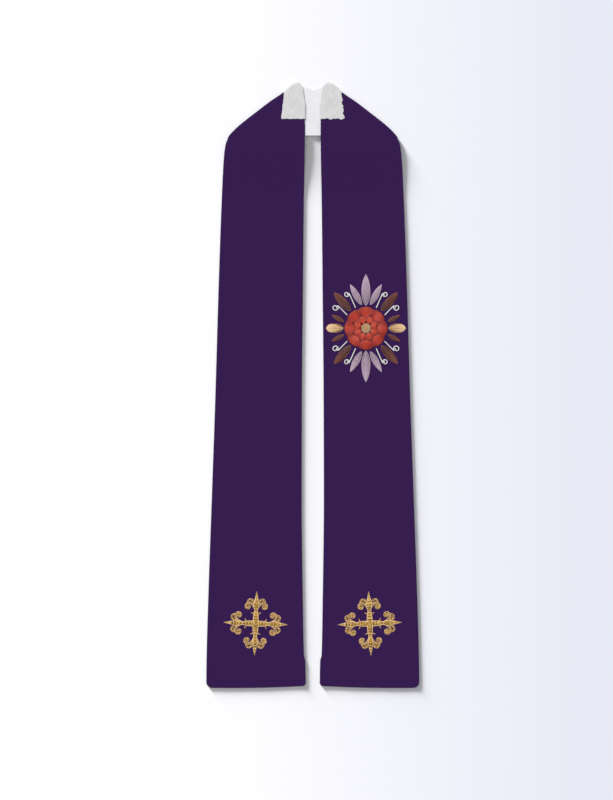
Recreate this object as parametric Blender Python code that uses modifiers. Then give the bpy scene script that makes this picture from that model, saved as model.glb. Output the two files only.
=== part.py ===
"""A clerical stole laid flat on a table, face up, with its neck folded under.

The two bands lie side by side. Each runs up from its hem, folds back along the
slope of the shoulder, and passes underneath to the seam at the centre of the back
of the neck. A white neck cloth is wrapped round the neck edge. A gold cross is
embroidered near each hem, and a flower panel on the band at +X.

Metres, +Z up from the table, +Y from the hems to the neck, X across the bands.
The origin is on the table, at the middle of the stole. A height is measured from
the hem along +Y, and an offset from the middle line along X.
"""

import math

import bmesh
import bpy
from mathutils import Matrix, Vector

# Driving dimensions
STOLE_LENGTH = 1.1576
CLOTH = 0.0020
NECK_CLOTH = 0.0008
SEAM_GAP = 0.0003
NECK_SEAM_LENGTH = 0.084
NECK_SEAM_HEIGHT = 1.140
LIFT_AT_NECK = 0.0045
LIFT_AT_SHOULDER = 0.0027

# The neck edge and the outer edge of a band: height above the hem, offset
NECK_EDGE = (
    (0.0000, 0.0132),
    (0.0520, 0.0142),
    (0.0620, 0.0168),
    (0.1680, 0.0190),
    (0.3590, 0.0212),
    (0.5500, 0.0208),
    (0.7410, 0.0190),
    (0.9320, 0.0170),
    (1.0280, 0.0153),
    (1.0750, 0.0150),
    (1.0860, 0.0157),
    (1.1090, 0.0154),
    (1.1280, 0.0180),
    (1.1445, 0.0204),
    (1.1535, 0.0248),
)
OUTER_EDGE = (
    (0.000, 0.2034),
    (0.052, 0.2028),
    (0.168, 0.1996),
    (0.359, 0.1929),
    (0.550, 0.1862),
    (0.741, 0.1805),
    (0.932, 0.1738),
    (1.015, 0.1694),
    (1.038, 0.1662),
    (1.052, 0.1605),
)

# The axis of the shoulder fold: offset, height above the hem
SHOULDER_FOLD = (
    (0.0240, 1.1535),
    (0.0347, 1.1508),
    (0.0442, 1.1434),
    (0.0540, 1.1350),
    (0.0640, 1.1280),
    (0.0800, 1.1174),
    (0.1031, 1.1000),
    (0.1280, 1.0810),
    (0.1394, 1.0718),
    (0.1490, 1.0628),
    (0.1590, 1.0522),
)
FOLD_STEPS = 6

# The hem: rounded corners on a line that rises towards the middle
HEM_LOW_OFFSET = 0.155
HEM_RISE = 0.0040
HEM_CORNERS = {"neck": 0.006, "outer": 0.011}

# Where the band slopes down from the folded neck to the table
SLOPE_FOOT = 0.930
SLOPE_TOP = 1.046
LEVEL_TOP = 0.920

# The rows of a band below the slope, as heights, and the grid above and beside it
LEVEL_ROWS = (0.0, 0.012, 0.032, 0.052, 0.062, 0.110, 0.168, 0.264, 0.359, 0.455, 0.550,
              0.646, 0.741, 0.837, LEVEL_TOP)
SLOPE_ROWS = 36
BAND_SHARES = (0.0, 0.025, 0.055, 0.09, 0.13, 0.17, 0.22, 0.29, 0.40, 0.55, 0.70, 0.82,
               0.91, 0.97, 1.0)
UNDER_ROWS = 4

# The neck cloth on the face: its lower edge, and its free edge low and high
FLAP_FOOT = 1.0858
FLAP_LOW_OFFSET = 0.0602
FLAP_HIGH_OFFSET = 0.0540
FLAP_TOP = 1.140
FLAP_ROWS = 13
FLAP_COLUMNS = 7
FLAP_TUCK = math.radians(120)
FLAP_TUCK_STEPS = 5
FLAP_RETURN = 0.005
EDGE_WRAP_STEPS = 4

# The neck cloth inside the neck, which shows between the bands
INSIDE_LOW_HALF_WIDTH = 0.024
INSIDE_HIGH_HALF_WIDTH = 0.0216
INSIDE_LOW_HEIGHT = 1.0545
INSIDE_COLUMNS = 8
INSIDE_ROWS = 4
INSIDE_WRAP_STEPS = 3

# The crosses
CROSS_OFFSET = 0.1090
CROSS_HEIGHT = 0.1232
CROSS_TILT = math.radians(2.2)
THREAD_SQUASH = 0.45
THREAD_SINK = 0.00015
STEM_STEP = 0.00008
BASE_CUT_DEPTH = 0.01

# One arm of a cross: along the arm, across it, half width
STEM = ((0.0000, 0, 0.0052), (0.0130, 0, 0.0050), (0.0230, 0, 0.0033),
        (0.0290, 0, 0.0040), (0.0360, 0, 0.0056), (0.0430, 0, 0.0044))
ARM_POINT = ((0.0400, 0, 0.0030), (0.0455, 0, 0.0034), (0.0520, 0, 0.0020),
             (0.0600, 0, 0.0005))
PAIRED_STROKES = {
    "scroll": ((0.0258, 0.0017, 0.0014), (0.0310, 0.0036, 0.0018), (0.0360, 0.0072, 0.0019),
               (0.0388, 0.0124, 0.0018), (0.0376, 0.0176, 0.0018), (0.0333, 0.0203, 0.0018),
               (0.0293, 0.0184, 0.0016), (0.0286, 0.0143, 0.0014), (0.0311, 0.0119, 0.0013),
               (0.0337, 0.0141, 0.0016)),
    "arch": ((0.0385, 0.0035, 0.0014), (0.0432, 0.0062, 0.0015), (0.0462, 0.0105, 0.0014),
             (0.0450, 0.0150, 0.0013), (0.0403, 0.0170, 0.0012)),
    "thorn": ((0.0185, 0.0030, 0.0016), (0.0194, 0.0066, 0.0010), (0.0208, 0.0098, 0.0003)),
}

# The flower panel: its middle, and its petals and leaves by angle from the middle
PANEL_OFFSET = 0.1015
PANEL_HEIGHT = 0.6870
ROSE_RADIUS = 0.0410
ROSE_PETALS = 8
ROSE_THICKNESS = 0.0009
HEART_RADIUS = 0.0240
HEART_THICKNESS = 0.0007
BOSS_RADIUS = 0.0090
BOSS_THICKNESS = 0.0010
PETAL_THICKNESS = 0.0014
QUARTERS = {"upper_right": (1, 1), "upper_left": (-1, 1),
            "lower_right": (1, -1), "lower_left": (-1, -1)}
# Root across and along the upper right quarter, turn from +Y, length, width
QUARTER_PIECES = {
    "side_petal": (0.0085, 0.0448, 29, 0.0440, 0.0120),
    "leaf": (0.0290, 0.0330, 42, 0.0470, 0.0150),
    "sepal": (0.0420, 0.0125, 62, 0.0260, 0.0085),
}
# Root distance from the middle, turn from +Y, length, width
AXIS_PIECES = {
    "top_petal": (0.0435, 0, 0.0590, 0.0165),
    "low_petal": (0.0435, 180, 0.0590, 0.0165),
    "left_bud": (0.0430, -90, 0.0335, 0.0170),
    "right_bud": (0.0430, 90, 0.0335, 0.0170),
}
TENDRIL_RADIUS = 0.0009
# Root distance and angle, curl distance and angle, curl radius
TENDRILS = {
    "upper_tendril": (0.0435, 27, 0.0745, 29.5, 0.0052),
    "lower_tendril": (0.0435, 55, 0.0705, 56.0, 0.0062),
}
TENDRIL_TURN = math.radians(430)
TENDRIL_POINTS = 14

COLOURS = {
    "band_cloth": ((0.037, 0.013, 0.076), 0.85),
    "neck_cloth": ((0.66, 0.66, 0.66), 0.95),
    "gold_thread": ((0.50, 0.31, 0.10), 0.40),
    "red_thread": ((0.45, 0.03, 0.015), 0.55),
    "lavender_thread": ((0.40, 0.29, 0.38), 0.55),
    "brown_thread": ((0.10, 0.025, 0.016), 0.60),
    "cream_thread": ((0.72, 0.48, 0.25), 0.60),
    "white_thread": ((0.75, 0.74, 0.72), 0.60),
}

FACE = CLOTH + SEAM_GAP
MIDDLE = STOLE_LENGTH / 2


def clear_scene():
    for obj in list(bpy.data.objects):
        bpy.data.objects.remove(obj)


def make_collection(name):
    found = bpy.data.collections.new(name)
    bpy.context.scene.collection.children.link(found)
    return found


def make_material(name):
    colour, roughness = COLOURS[name]
    material = bpy.data.materials.new(name)
    material.use_nodes = True
    shader = material.node_tree.nodes["Principled BSDF"]
    shader.inputs["Base Color"].default_value = (*colour, 1.0)
    shader.inputs["Roughness"].default_value = roughness
    shader.inputs["Metallic"].default_value = 0.0
    return material


def smooth_value(table, at):
    """Reads a table of (position, value) rows with a smooth curve that never overshoots."""
    if at <= table[0][0]:
        return table[0][1]
    if at >= table[-1][0]:
        return table[-1][1]
    slopes = [(b[1] - a[1]) / (b[0] - a[0]) for a, b in zip(table, table[1:])]
    row = next(i for i, entry in enumerate(table[1:]) if at <= entry[0])
    (start, low), (end, high) = table[row], table[row + 1]
    ends = []
    for knot in (row, row + 1):
        before = slopes[max(knot - 1, 0)]
        after = slopes[min(knot, len(slopes) - 1)]
        level = before * after <= 0
        ends.append(0.0 if level else 2 * before * after / (before + after))
    span = end - start
    t = (at - start) / span
    return (low * (1 + 2 * t) * (1 - t) ** 2 + high * t * t * (3 - 2 * t)
            + span * (ends[0] * t * (1 - t) ** 2 - ends[1] * t * t * (1 - t)))


def smooth_step(t):
    t = min(max(t, 0.0), 1.0)
    return t * t * (3 - 2 * t)


def neck_edge(height):
    return smooth_value(NECK_EDGE, height)


def outer_edge(height):
    return smooth_value(OUTER_EDGE, height)


def flap_edge(height):
    """The free edge of the neck cloth on the face of the band."""
    share = (height - FLAP_FOOT) / (FLAP_TOP - FLAP_FOOT)
    return FLAP_LOW_OFFSET + (FLAP_HIGH_OFFSET - FLAP_LOW_OFFSET) * min(share, 1.0)


def fold_height(offset):
    """Height of the shoulder fold's axis at an offset."""
    if offset > SHOULDER_FOLD[-1][0]:
        (start, high), (end, low) = SHOULDER_FOLD[-2:]
        return low + (offset - end) * (low - high) / (end - start)
    return smooth_value(SHOULDER_FOLD, offset)


def fold_normal(offset):
    """The direction that the fold faces at an offset, as (across, along)."""
    step = 0.001
    steepness = (fold_height(offset + step) - fold_height(offset - step)) / (2 * step)
    length = math.hypot(steepness, 1.0)
    return -steepness / length, 1.0 / length


def full_lift(offset):
    """How high the band lies over the folded neck at an offset."""
    start, end = SHOULDER_FOLD[0][0], SHOULDER_FOLD[-1][0]
    share = (offset - start) / (end - start)
    share = min(max(share, 0.0), 1.0)
    return LIFT_AT_NECK + (LIFT_AT_SHOULDER - LIFT_AT_NECK) * share


def lift(offset, height):
    """Height of the band's underside above the table."""
    return full_lift(offset) * smooth_step((height - SLOPE_FOOT) / (SLOPE_TOP - SLOPE_FOOT))


def hem_height(offset):
    """Height of the hem line at an offset, with its rounded corners."""
    rise = HEM_RISE * ((offset - HEM_LOW_OFFSET) / (HEM_LOW_OFFSET - neck_edge(0))) ** 2
    for edge, inset in (("neck", offset - neck_edge(0)), ("outer", outer_edge(0) - offset)):
        radius = HEM_CORNERS[edge]
        if inset < radius:
            rise += radius - math.sqrt(max(radius ** 2 - (radius - inset) ** 2, 0.0))
    return rise


def across(share, height, far_edge):
    """Offset at a share of the way from the neck edge to another edge."""
    return neck_edge(height) + share * (far_edge(height) - neck_edge(height))


def column_top(share, far_edge):
    """Where a column that follows both edges meets the fold's axis, as (offset, height)."""
    low, high = SLOPE_TOP, STOLE_LENGTH
    for _ in range(40):
        height = (low + high) / 2
        if height < fold_height(across(share, height, far_edge)):
            low = height
        else:
            high = height
    return across(share, low, far_edge), low


def place(side, offset, height, z):
    """A point of the left band at side -1, or the right one at side 1."""
    return Vector((side * offset, height - MIDDLE, z))


def face_point(side, offset, height, out):
    """A point that lies out from the middle of the band's wall, on its face."""
    return place(side, offset, height, lift(offset, height) + CLOTH / 2 + out)


def fold_point(side, offset, turn, out):
    """A point on the shoulder fold, turned from the face at 0 to the underside at pi."""
    normal = fold_normal(offset)
    radius = full_lift(offset) / 2
    reach = (radius + out) * math.sin(turn)
    z = CLOTH / 2 + radius + (radius + out) * math.cos(turn)
    return place(side, offset + normal[0] * reach, fold_height(offset) + normal[1] * reach, z)


def neck_seam_point(side, share):
    """A point on the seam at the centre of the back of the neck."""
    return place(side, SEAM_GAP / 2, NECK_SEAM_HEIGHT - NECK_SEAM_LENGTH * share, CLOTH / 2)


def make_object(name, mesh, material, collection):
    obj = bpy.data.objects.new(name, mesh)
    mesh.materials.append(material)
    collection.objects.link(obj)
    return obj


def cloth_wall(name, rows, thickness, material, collection):
    """A wall of cloth whose middle surface runs through rows of points."""
    bm = bmesh.new()
    bmesh.ops.create_grid(bm, x_segments=len(rows[0]) - 1, y_segments=len(rows) - 1, size=1)
    bm.verts.ensure_lookup_table()
    for vert, point in zip(bm.verts, (point for row in rows for point in row)):
        vert.co = point
    mesh = bpy.data.meshes.new(name)
    bm.to_mesh(mesh)
    bm.free()
    obj = make_object(name, mesh, material, collection)
    solidify = obj.modifiers.new("Thickness", "SOLIDIFY")
    solidify.thickness = thickness
    solidify.offset = 0
    solidify.use_even_offset = True
    return obj


def make_band(side, name, material, collection):
    """A band from its hem, over the shoulder fold, to the seam behind the neck."""
    tops = [column_top(share, outer_edge) for share in BAND_SHARES]
    rows = []
    for level in LEVEL_ROWS:
        row = []
        for share in BAND_SHARES:
            start = hem_height(across(share, 0, outer_edge))
            height = start + (LEVEL_TOP - start) * level / LEVEL_TOP
            row.append(face_point(side, across(share, height, outer_edge), height, 0))
        rows.append(row)
    for step in range(1, SLOPE_ROWS + 1):
        row = []
        for share, (_, top) in zip(BAND_SHARES, tops):
            height = LEVEL_TOP + (top - LEVEL_TOP) * step / SLOPE_ROWS
            row.append(face_point(side, across(share, height, outer_edge), height, 0))
        rows.append(row)
    for step in range(1, FOLD_STEPS + 1):
        turn = math.pi * step / FOLD_STEPS
        rows.append([fold_point(side, offset, turn, 0) for offset, _ in tops])
    for step in range(1, UNDER_ROWS + 1):
        rows.append([
            fold_point(side, offset, math.pi, 0).lerp(neck_seam_point(side, share), step / UNDER_ROWS)
            for share, (offset, _) in zip(BAND_SHARES, tops)
        ])
    return cloth_wall(name, rows, CLOTH, material, collection)


def neck_edge_outward(height):
    """The direction square to the neck edge and away from the band, as (across, along)."""
    step = 0.001
    lean = (neck_edge(height + step) - neck_edge(height - step)) / (2 * step)
    length = math.hypot(lean, 1.0)
    return -1.0 / length, lean / length


def make_neck_flap(side, name, material, collection):
    """The neck cloth on the face: round the neck edge and over the shoulder fold."""
    out = CLOTH / 2 + SEAM_GAP + NECK_CLOTH / 2
    shares = [1 - i / FLAP_COLUMNS for i in range(FLAP_COLUMNS + 1)]
    wraps = [math.pi * i / EDGE_WRAP_STEPS for i in range(1, EDGE_WRAP_STEPS + 1)]
    tops = [column_top(share, flap_edge) for share in shares]
    inner_top = tops[-1]
    return_top = inner_top[0] + FLAP_RETURN
    rows = []
    for step in range(FLAP_ROWS + 1):
        rise = step / FLAP_ROWS
        row = []
        for share, (_, top) in zip(shares, tops):
            height = FLAP_FOOT + (top - FLAP_FOOT) * rise
            row.append(face_point(side, across(share, height, flap_edge), height, out))
        height = FLAP_FOOT + (inner_top[1] - FLAP_FOOT) * rise
        outward = neck_edge_outward(height)
        edge = neck_edge(height)
        for wrap in wraps:
            reach = out * math.sin(wrap)
            row.append(face_point(side, edge + outward[0] * reach, height + outward[1] * reach,
                                  out * math.cos(wrap)))
        row.append(face_point(side, edge + FLAP_RETURN, min(height, fold_height(return_top)), -out))
        rows.append(row)
    for step in range(1, FLAP_TUCK_STEPS + 1):
        turn = FLAP_TUCK * step / FLAP_TUCK_STEPS
        row = [fold_point(side, offset, turn, out) for offset, _ in tops]
        normal = fold_normal(inner_top[0])
        for wrap in wraps:
            point = fold_point(side, inner_top[0], turn, out * math.cos(wrap))
            reach = out * math.sin(wrap)
            row.append(point + Vector((-side * normal[1] * reach, normal[0] * reach, 0)))
        row.append(fold_point(side, return_top, turn, -out))
        rows.append(row)
    return cloth_wall(name, rows, NECK_CLOTH, material, collection)


def under_edge(offset):
    """Height of the neck edge of the folded part, from the fold down to the seam."""
    return NECK_SEAM_HEIGHT + under_edge_rise() * abs(offset)


def under_edge_rise():
    """How steeply the neck edge of the folded part rises from the seam to the fold."""
    fold_offset, fold_top = column_top(0, outer_edge)
    return (fold_top - NECK_SEAM_HEIGHT) / fold_offset


def make_neck_inside(name, material, collection):
    """The neck cloth inside the neck, from under one band to under the other."""
    rise = SEAM_GAP + NECK_CLOTH / 2
    out = CLOTH / 2 + rise
    reach = out * math.hypot(under_edge_rise(), 1)
    across_shares = [2 * i / INSIDE_COLUMNS - 1 for i in range(INSIDE_COLUMNS + 1)]
    rows = []
    for step in range(INSIDE_ROWS + 1):
        share = step / INSIDE_ROWS
        half = INSIDE_LOW_HALF_WIDTH + (INSIDE_HIGH_HALF_WIDTH - INSIDE_LOW_HALF_WIDTH) * share
        row = []
        for offset in (half * part for part in across_shares):
            height = INSIDE_LOW_HEIGHT + (under_edge(offset) - INSIDE_LOW_HEIGHT) * share
            row.append(place(1, offset, height, CLOTH + rise))
        rows.append(row)
    for step in range(1, INSIDE_WRAP_STEPS + 1):
        wrap = math.pi / 2 * step / INSIDE_WRAP_STEPS
        row = []
        for offset in (INSIDE_HIGH_HALF_WIDTH * part for part in across_shares):
            height = under_edge(offset) + reach * math.sin(wrap)
            row.append(place(1, offset, height, CLOTH / 2 + out * math.cos(wrap)))
        rows.append(row)
    return cloth_wall(name, rows, NECK_CLOTH, material, collection)


def curve_through(points, steps):
    """Points on a smooth curve through rows of numbers, with some steps a stretch."""
    rows = [Vector(point) for point in points]
    padded = [2 * rows[0] - rows[1], *rows, 2 * rows[-1] - rows[-2]]
    found = [rows[0]]
    for a, b, c, d in zip(padded, padded[1:], padded[2:], padded[3:]):
        for i in range(1, steps + 1):
            t = i / steps
            found.append(0.5 * (2 * b + (c - a) * t + (2 * a - 5 * b + 4 * c - d) * t * t
                                + (3 * b - a - 3 * c + d) * t ** 3))
    return found


def thread_tube(name, points, collection):
    """A tube along points of (x, y, half width), with filled ends, as a welded mesh."""
    curve = bpy.data.curves.new(name, "CURVE")
    curve.dimensions = "3D"
    curve.twist_mode = "Z_UP"
    curve.bevel_depth = 1.0
    curve.bevel_resolution = 1
    curve.use_fill_caps = True
    spline = curve.splines.new("POLY")
    spline.points.add(len(points) - 1)
    for target, (x, y, half) in zip(spline.points, points):
        target.co = (x, y, 0, 1)
        target.radius = half
    guide = bpy.data.objects.new(name, curve)
    collection.objects.link(guide)
    bpy.context.view_layer.update()
    mesh = bpy.data.meshes.new_from_object(guide.evaluated_get(bpy.context.evaluated_depsgraph_get()))
    bpy.data.objects.remove(guide)
    bm = bmesh.new()
    bm.from_mesh(mesh)
    bmesh.ops.remove_doubles(bm, verts=bm.verts, dist=1e-6)
    bm.to_mesh(mesh)
    bm.free()
    return mesh


def cross_strokes():
    """Every stroke of a cross, as (quarter turns, sink, points of along, across and half width)."""
    outward = [Vector(row) for row in STEM]
    stem = [Vector((-row.x, row.y, row.z)) for row in reversed(outward[1:])] + outward
    found = [(0, THREAD_SINK, stem), (1, THREAD_SINK + STEM_STEP, stem)]
    for quarter in range(4):
        found.append((quarter, THREAD_SINK + 2 * STEM_STEP, curve_through(ARM_POINT, 1)))
        for rows in PAIRED_STROKES.values():
            for hand in (-1, 1):
                pair = [(along, hand * aside, half) for along, aside, half in rows]
                found.append((quarter, THREAD_SINK, curve_through(pair, 2)))
    return found


def make_cross(side, name, material, collection, cutters):
    """A cross with scrolled arms, joined from flattened strokes and cut flat beneath."""
    centre = place(side, CROSS_OFFSET, CROSS_HEIGHT, FACE)
    bm = bmesh.new()
    for quarter, sink, points in cross_strokes():
        turn = Matrix.Rotation(math.pi / 2 * quarter + side * CROSS_TILT, 4, "Z")
        mesh = thread_tube("stroke", points, cutters)
        mesh.transform(Matrix.Translation(centre - Vector((0, 0, sink))) @ turn
                       @ Matrix.Scale(THREAD_SQUASH, 4, (0, 0, 1)))
        bm.from_mesh(mesh)
    joined = bpy.data.meshes.new(name)
    bm.to_mesh(joined)
    bm.free()
    body = make_object(name, joined, material, collection)
    trim = body.modifiers.new("Flat underside", "BOOLEAN")
    trim.operation = "DIFFERENCE"
    trim.object = make_base_cutter(name, centre, material, cutters)
    trim.solver = "EXACT"
    trim.use_self = True
    return body


def make_base_cutter(name, centre, material, cutters):
    """A block that takes away what lies below the face of the band."""
    span = 0.16
    bm = bmesh.new()
    bmesh.ops.create_cube(bm, size=1.0)
    bmesh.ops.scale(bm, verts=bm.verts, vec=(span, span, BASE_CUT_DEPTH))
    bmesh.ops.translate(bm, verts=bm.verts, vec=centre - Vector((0, 0, BASE_CUT_DEPTH / 2)))
    mesh = bpy.data.meshes.new(name + "_base")
    bm.to_mesh(mesh)
    bm.free()
    block = make_object(name + "_base", mesh, material, cutters)
    block.hide_render = True
    block.display_type = "WIRE"
    return block


def dome(name, segments, rings, shape, at, material, collection):
    """A ball whose points are moved by a shape function to lie on the cloth."""
    bm = bmesh.new()
    bmesh.ops.create_uvsphere(bm, u_segments=segments, v_segments=rings, radius=1.0)
    for vert in bm.verts:
        vert.co = shape(vert.co)
    bmesh.ops.remove_doubles(bm, verts=bm.verts, dist=1e-6)
    mesh = bpy.data.meshes.new(name)
    bm.to_mesh(mesh)
    bm.free()
    obj = make_object(name, mesh, material, collection)
    obj.matrix_world = at
    return obj


def panel_matrix(x, y, level, turn_degrees):
    """A place in the flower panel, turned clockwise from +Y by some degrees."""
    spot = place(1, PANEL_OFFSET + x, PANEL_HEIGHT + y, FACE + level)
    return Matrix.Translation(spot) @ Matrix.Rotation(-math.radians(turn_degrees), 4, "Z")


def petal_shape(length, width, thickness):
    """A pointed petal along +Y from its root, domed on top and flat beneath."""
    def shape(co):
        ring = math.hypot(co.x, co.y)
        share = (1 + co.z) / 2
        plump = math.sin(math.pi * share ** 0.85) ** 0.8
        side = -co.x / ring if ring > 1e-9 else 0.0
        rise = max(co.y / ring, 0.0) if ring > 1e-9 else 0.0
        return Vector((side * plump * width / 2, share * length, rise * plump * thickness))
    return shape


def rose_shape(radius, thickness, lobes, depth):
    """A round of petals, with a scalloped edge and a level middle."""
    def shape(co):
        angle = math.atan2(co.y, co.x)
        reach = math.hypot(co.x, co.y)
        lobe = abs(math.cos(lobes * angle / 2))
        rim = radius * (1 - depth * (1 - lobe) ** 2)
        rise = max(co.z, 0.0) ** 0.5 * (1 - 0.35 * smooth_step((reach - 0.6) / 0.3) * (1 - lobe))
        return Vector((rim * reach * math.cos(angle), rim * reach * math.sin(angle), thickness * rise))
    return shape


def make_rose(materials, collection):
    """The rose: a round of petals, a heart of petals on it, and a boss on that."""
    heart_level = ROSE_THICKNESS + SEAM_GAP
    boss_level = heart_level + HEART_THICKNESS + SEAM_GAP
    segments = 4 * ROSE_PETALS
    dome("rose_petals", segments, 8, rose_shape(ROSE_RADIUS, ROSE_THICKNESS, ROSE_PETALS, 0.14),
         panel_matrix(0, 0, 0, 0), materials["red_thread"], collection)
    half_petal = 180 / ROSE_PETALS
    dome("rose_heart", segments, 6, rose_shape(HEART_RADIUS, HEART_THICKNESS, ROSE_PETALS, 0.16),
         panel_matrix(0, 0, heart_level, half_petal), materials["red_thread"], collection)
    dome("rose_boss", 20, 8, rose_shape(BOSS_RADIUS, BOSS_THICKNESS, 1, 0.0),
         panel_matrix(0, 0, boss_level, 0), materials["cream_thread"], collection)


def make_petals(materials, collection):
    """The petals, buds, leaves and sepals that stand round the rose."""
    threads = {"side_petal": "lavender_thread", "leaf": "brown_thread", "sepal": "brown_thread",
               "top_petal": "lavender_thread", "low_petal": "lavender_thread",
               "left_bud": "cream_thread", "right_bud": "cream_thread"}
    for name, (x, y, turn, length, width) in QUARTER_PIECES.items():
        for corner, (across_sign, along_sign) in QUARTERS.items():
            angle = across_sign * (turn if along_sign > 0 else 180 - turn)
            dome(f"{corner}_{name}", 10, 7, petal_shape(length, width, PETAL_THICKNESS),
                 panel_matrix(across_sign * x, along_sign * y, 0, angle),
                 materials[threads[name]], collection)
    for name, (reach, turn, length, width) in AXIS_PIECES.items():
        root = (reach * math.sin(math.radians(turn)), reach * math.cos(math.radians(turn)))
        dome(name, 10, 7, petal_shape(length, width, PETAL_THICKNESS),
             panel_matrix(*root, 0, turn), materials[threads[name]], collection)


def tendril_points(root_reach, root_angle, curl_reach, curl_angle, curl_radius):
    """A stem that runs out from the rose and curls up at its end."""
    root = Vector((math.sin(math.radians(root_angle)), math.cos(math.radians(root_angle)))) * root_reach
    curl = Vector((math.sin(math.radians(curl_angle)), math.cos(math.radians(curl_angle)))) * curl_reach
    inward = (root - curl).normalized()
    start = math.atan2(inward.y, inward.x) - math.radians(60)
    points = [root]
    for i in range(TENDRIL_POINTS):
        share = i / (TENDRIL_POINTS - 1)
        radius = curl_radius * (1 - 0.62 * share)
        angle = start + TENDRIL_TURN * share
        points.append(curl + radius * Vector((math.cos(angle), math.sin(angle))))
    return points


def make_tendrils(material, collection, cutters):
    for name, row in TENDRILS.items():
        points = tendril_points(*row)
        for corner, (across_sign, along_sign) in QUARTERS.items():
            path = [(across_sign * p.x, along_sign * p.y, TENDRIL_RADIUS) for p in points]
            mesh = thread_tube(name, path, cutters)
            mesh.transform(panel_matrix(0, 0, TENDRIL_RADIUS, 0))
            make_object(f"{corner}_{name}", mesh, material, collection)


def main():
    clear_scene()
    stole = make_collection("stole")
    cutters = make_collection("cutters")
    materials = {name: make_material(name) for name in COLOURS}
    for side, hand in ((-1, "left"), (1, "right")):
        make_band(side, f"{hand}_band", materials["band_cloth"], stole)
        make_neck_flap(side, f"{hand}_neck_flap", materials["neck_cloth"], stole)
        make_cross(side, f"{hand}_cross", materials["gold_thread"], stole, cutters)
    make_neck_inside("neck_inside", materials["neck_cloth"], stole)
    make_rose(materials, stole)
    make_petals(materials, stole)
    make_tendrils(materials["white_thread"], stole, cutters)


main()
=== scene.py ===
"""The looks of a clerical stole that lies flat on a table.

It makes the cloth and the embroidery, and sets the stage, the light and the camera.

Metres, +Z up from the table, +Y from the hems to the neck, X across the bands. A height is
measured from the hem along +Y, and an offset from the middle line along X. Side -1 is the left
band and side 1 the right one, which carries the flower panel.
"""

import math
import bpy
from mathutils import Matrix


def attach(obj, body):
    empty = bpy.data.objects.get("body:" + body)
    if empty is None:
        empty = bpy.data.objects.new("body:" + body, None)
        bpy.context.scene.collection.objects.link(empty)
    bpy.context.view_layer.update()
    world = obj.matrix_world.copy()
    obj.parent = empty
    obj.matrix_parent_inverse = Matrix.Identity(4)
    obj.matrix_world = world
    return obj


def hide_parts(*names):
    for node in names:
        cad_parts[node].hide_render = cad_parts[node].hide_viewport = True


bl_info = {
    "name": "Clerical Stole",
    "version": (1, 0, 0),
    "blender": (4, 5, 0),
    "location": "View3D > Sidebar > Stole",
    "description": "Dresses the stole in cloth and embroidery and sets its stage, light and camera",
    "category": "Object",
}

import bpy
import numpy as np
from bpy.props import FloatProperty, FloatVectorProperty, PointerProperty
from mathutils import Vector

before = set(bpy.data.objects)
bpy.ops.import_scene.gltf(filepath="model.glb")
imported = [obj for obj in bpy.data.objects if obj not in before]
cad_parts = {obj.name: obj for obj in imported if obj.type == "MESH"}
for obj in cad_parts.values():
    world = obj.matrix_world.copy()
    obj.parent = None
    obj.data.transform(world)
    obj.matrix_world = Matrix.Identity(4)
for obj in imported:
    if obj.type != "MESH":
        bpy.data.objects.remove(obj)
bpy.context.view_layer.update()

# The same values as in the part's source
STOLE_LENGTH = 1.1576
MIDDLE = STOLE_LENGTH / 2
CLOTH = 0.0020
NECK_CLOTH = 0.0008
SEAM_GAP = 0.0003
FACE = CLOTH + SEAM_GAP
NECK_SEAM_LENGTH = 0.084
NECK_SEAM_HEIGHT = 1.140
LIFT_AT_NECK = 0.0045
LIFT_AT_SHOULDER = 0.0027
NECK_EDGE = (
    (0.0000, 0.0132), (0.0520, 0.0142), (0.0620, 0.0168), (0.1680, 0.0190), (0.3590, 0.0212),
    (0.5500, 0.0208), (0.7410, 0.0190), (0.9320, 0.0170), (1.0280, 0.0153), (1.0750, 0.0150),
    (1.0860, 0.0157), (1.1090, 0.0154), (1.1280, 0.0180), (1.1445, 0.0204), (1.1535, 0.0248),
)
OUTER_EDGE = (
    (0.000, 0.2034), (0.052, 0.2028), (0.168, 0.1996), (0.359, 0.1929), (0.550, 0.1862),
    (0.741, 0.1805), (0.932, 0.1738), (1.015, 0.1694), (1.038, 0.1662), (1.052, 0.1605),
)
SHOULDER_FOLD = (
    (0.0240, 1.1535), (0.0347, 1.1508), (0.0442, 1.1434), (0.0540, 1.1350), (0.0640, 1.1280),
    (0.0800, 1.1174), (0.1031, 1.1000), (0.1280, 1.0810), (0.1394, 1.0718), (0.1490, 1.0628),
    (0.1590, 1.0522),
)
HEM_LOW_OFFSET = 0.155
HEM_RISE = 0.0040
HEM_CORNERS = {"neck": 0.006, "outer": 0.011}
SLOPE_FOOT = 0.930
SLOPE_TOP = 1.046
LEVEL_TOP = 0.920
FLAP_FOOT = 1.0858
FLAP_LOW_OFFSET = 0.0602
FLAP_HIGH_OFFSET = 0.0540
FLAP_TOP = 1.140
FLAP_TUCK = math.radians(120)
FLAP_RETURN = 0.005
INSIDE_LOW_HALF_WIDTH = 0.024
INSIDE_HIGH_HALF_WIDTH = 0.0216
INSIDE_LOW_HEIGHT = 1.0545
CROSS_OFFSET = 0.1090
CROSS_HEIGHT = 0.1232
CROSS_TILT = math.radians(2.2)
THREAD_SQUASH = 0.45
STEM = ((0.0000, 0, 0.0052), (0.0130, 0, 0.0050), (0.0230, 0, 0.0033),
        (0.0290, 0, 0.0040), (0.0360, 0, 0.0056), (0.0430, 0, 0.0044))
ARM_POINT = ((0.0400, 0, 0.0030), (0.0455, 0, 0.0034), (0.0520, 0, 0.0020),
             (0.0600, 0, 0.0005))
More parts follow.
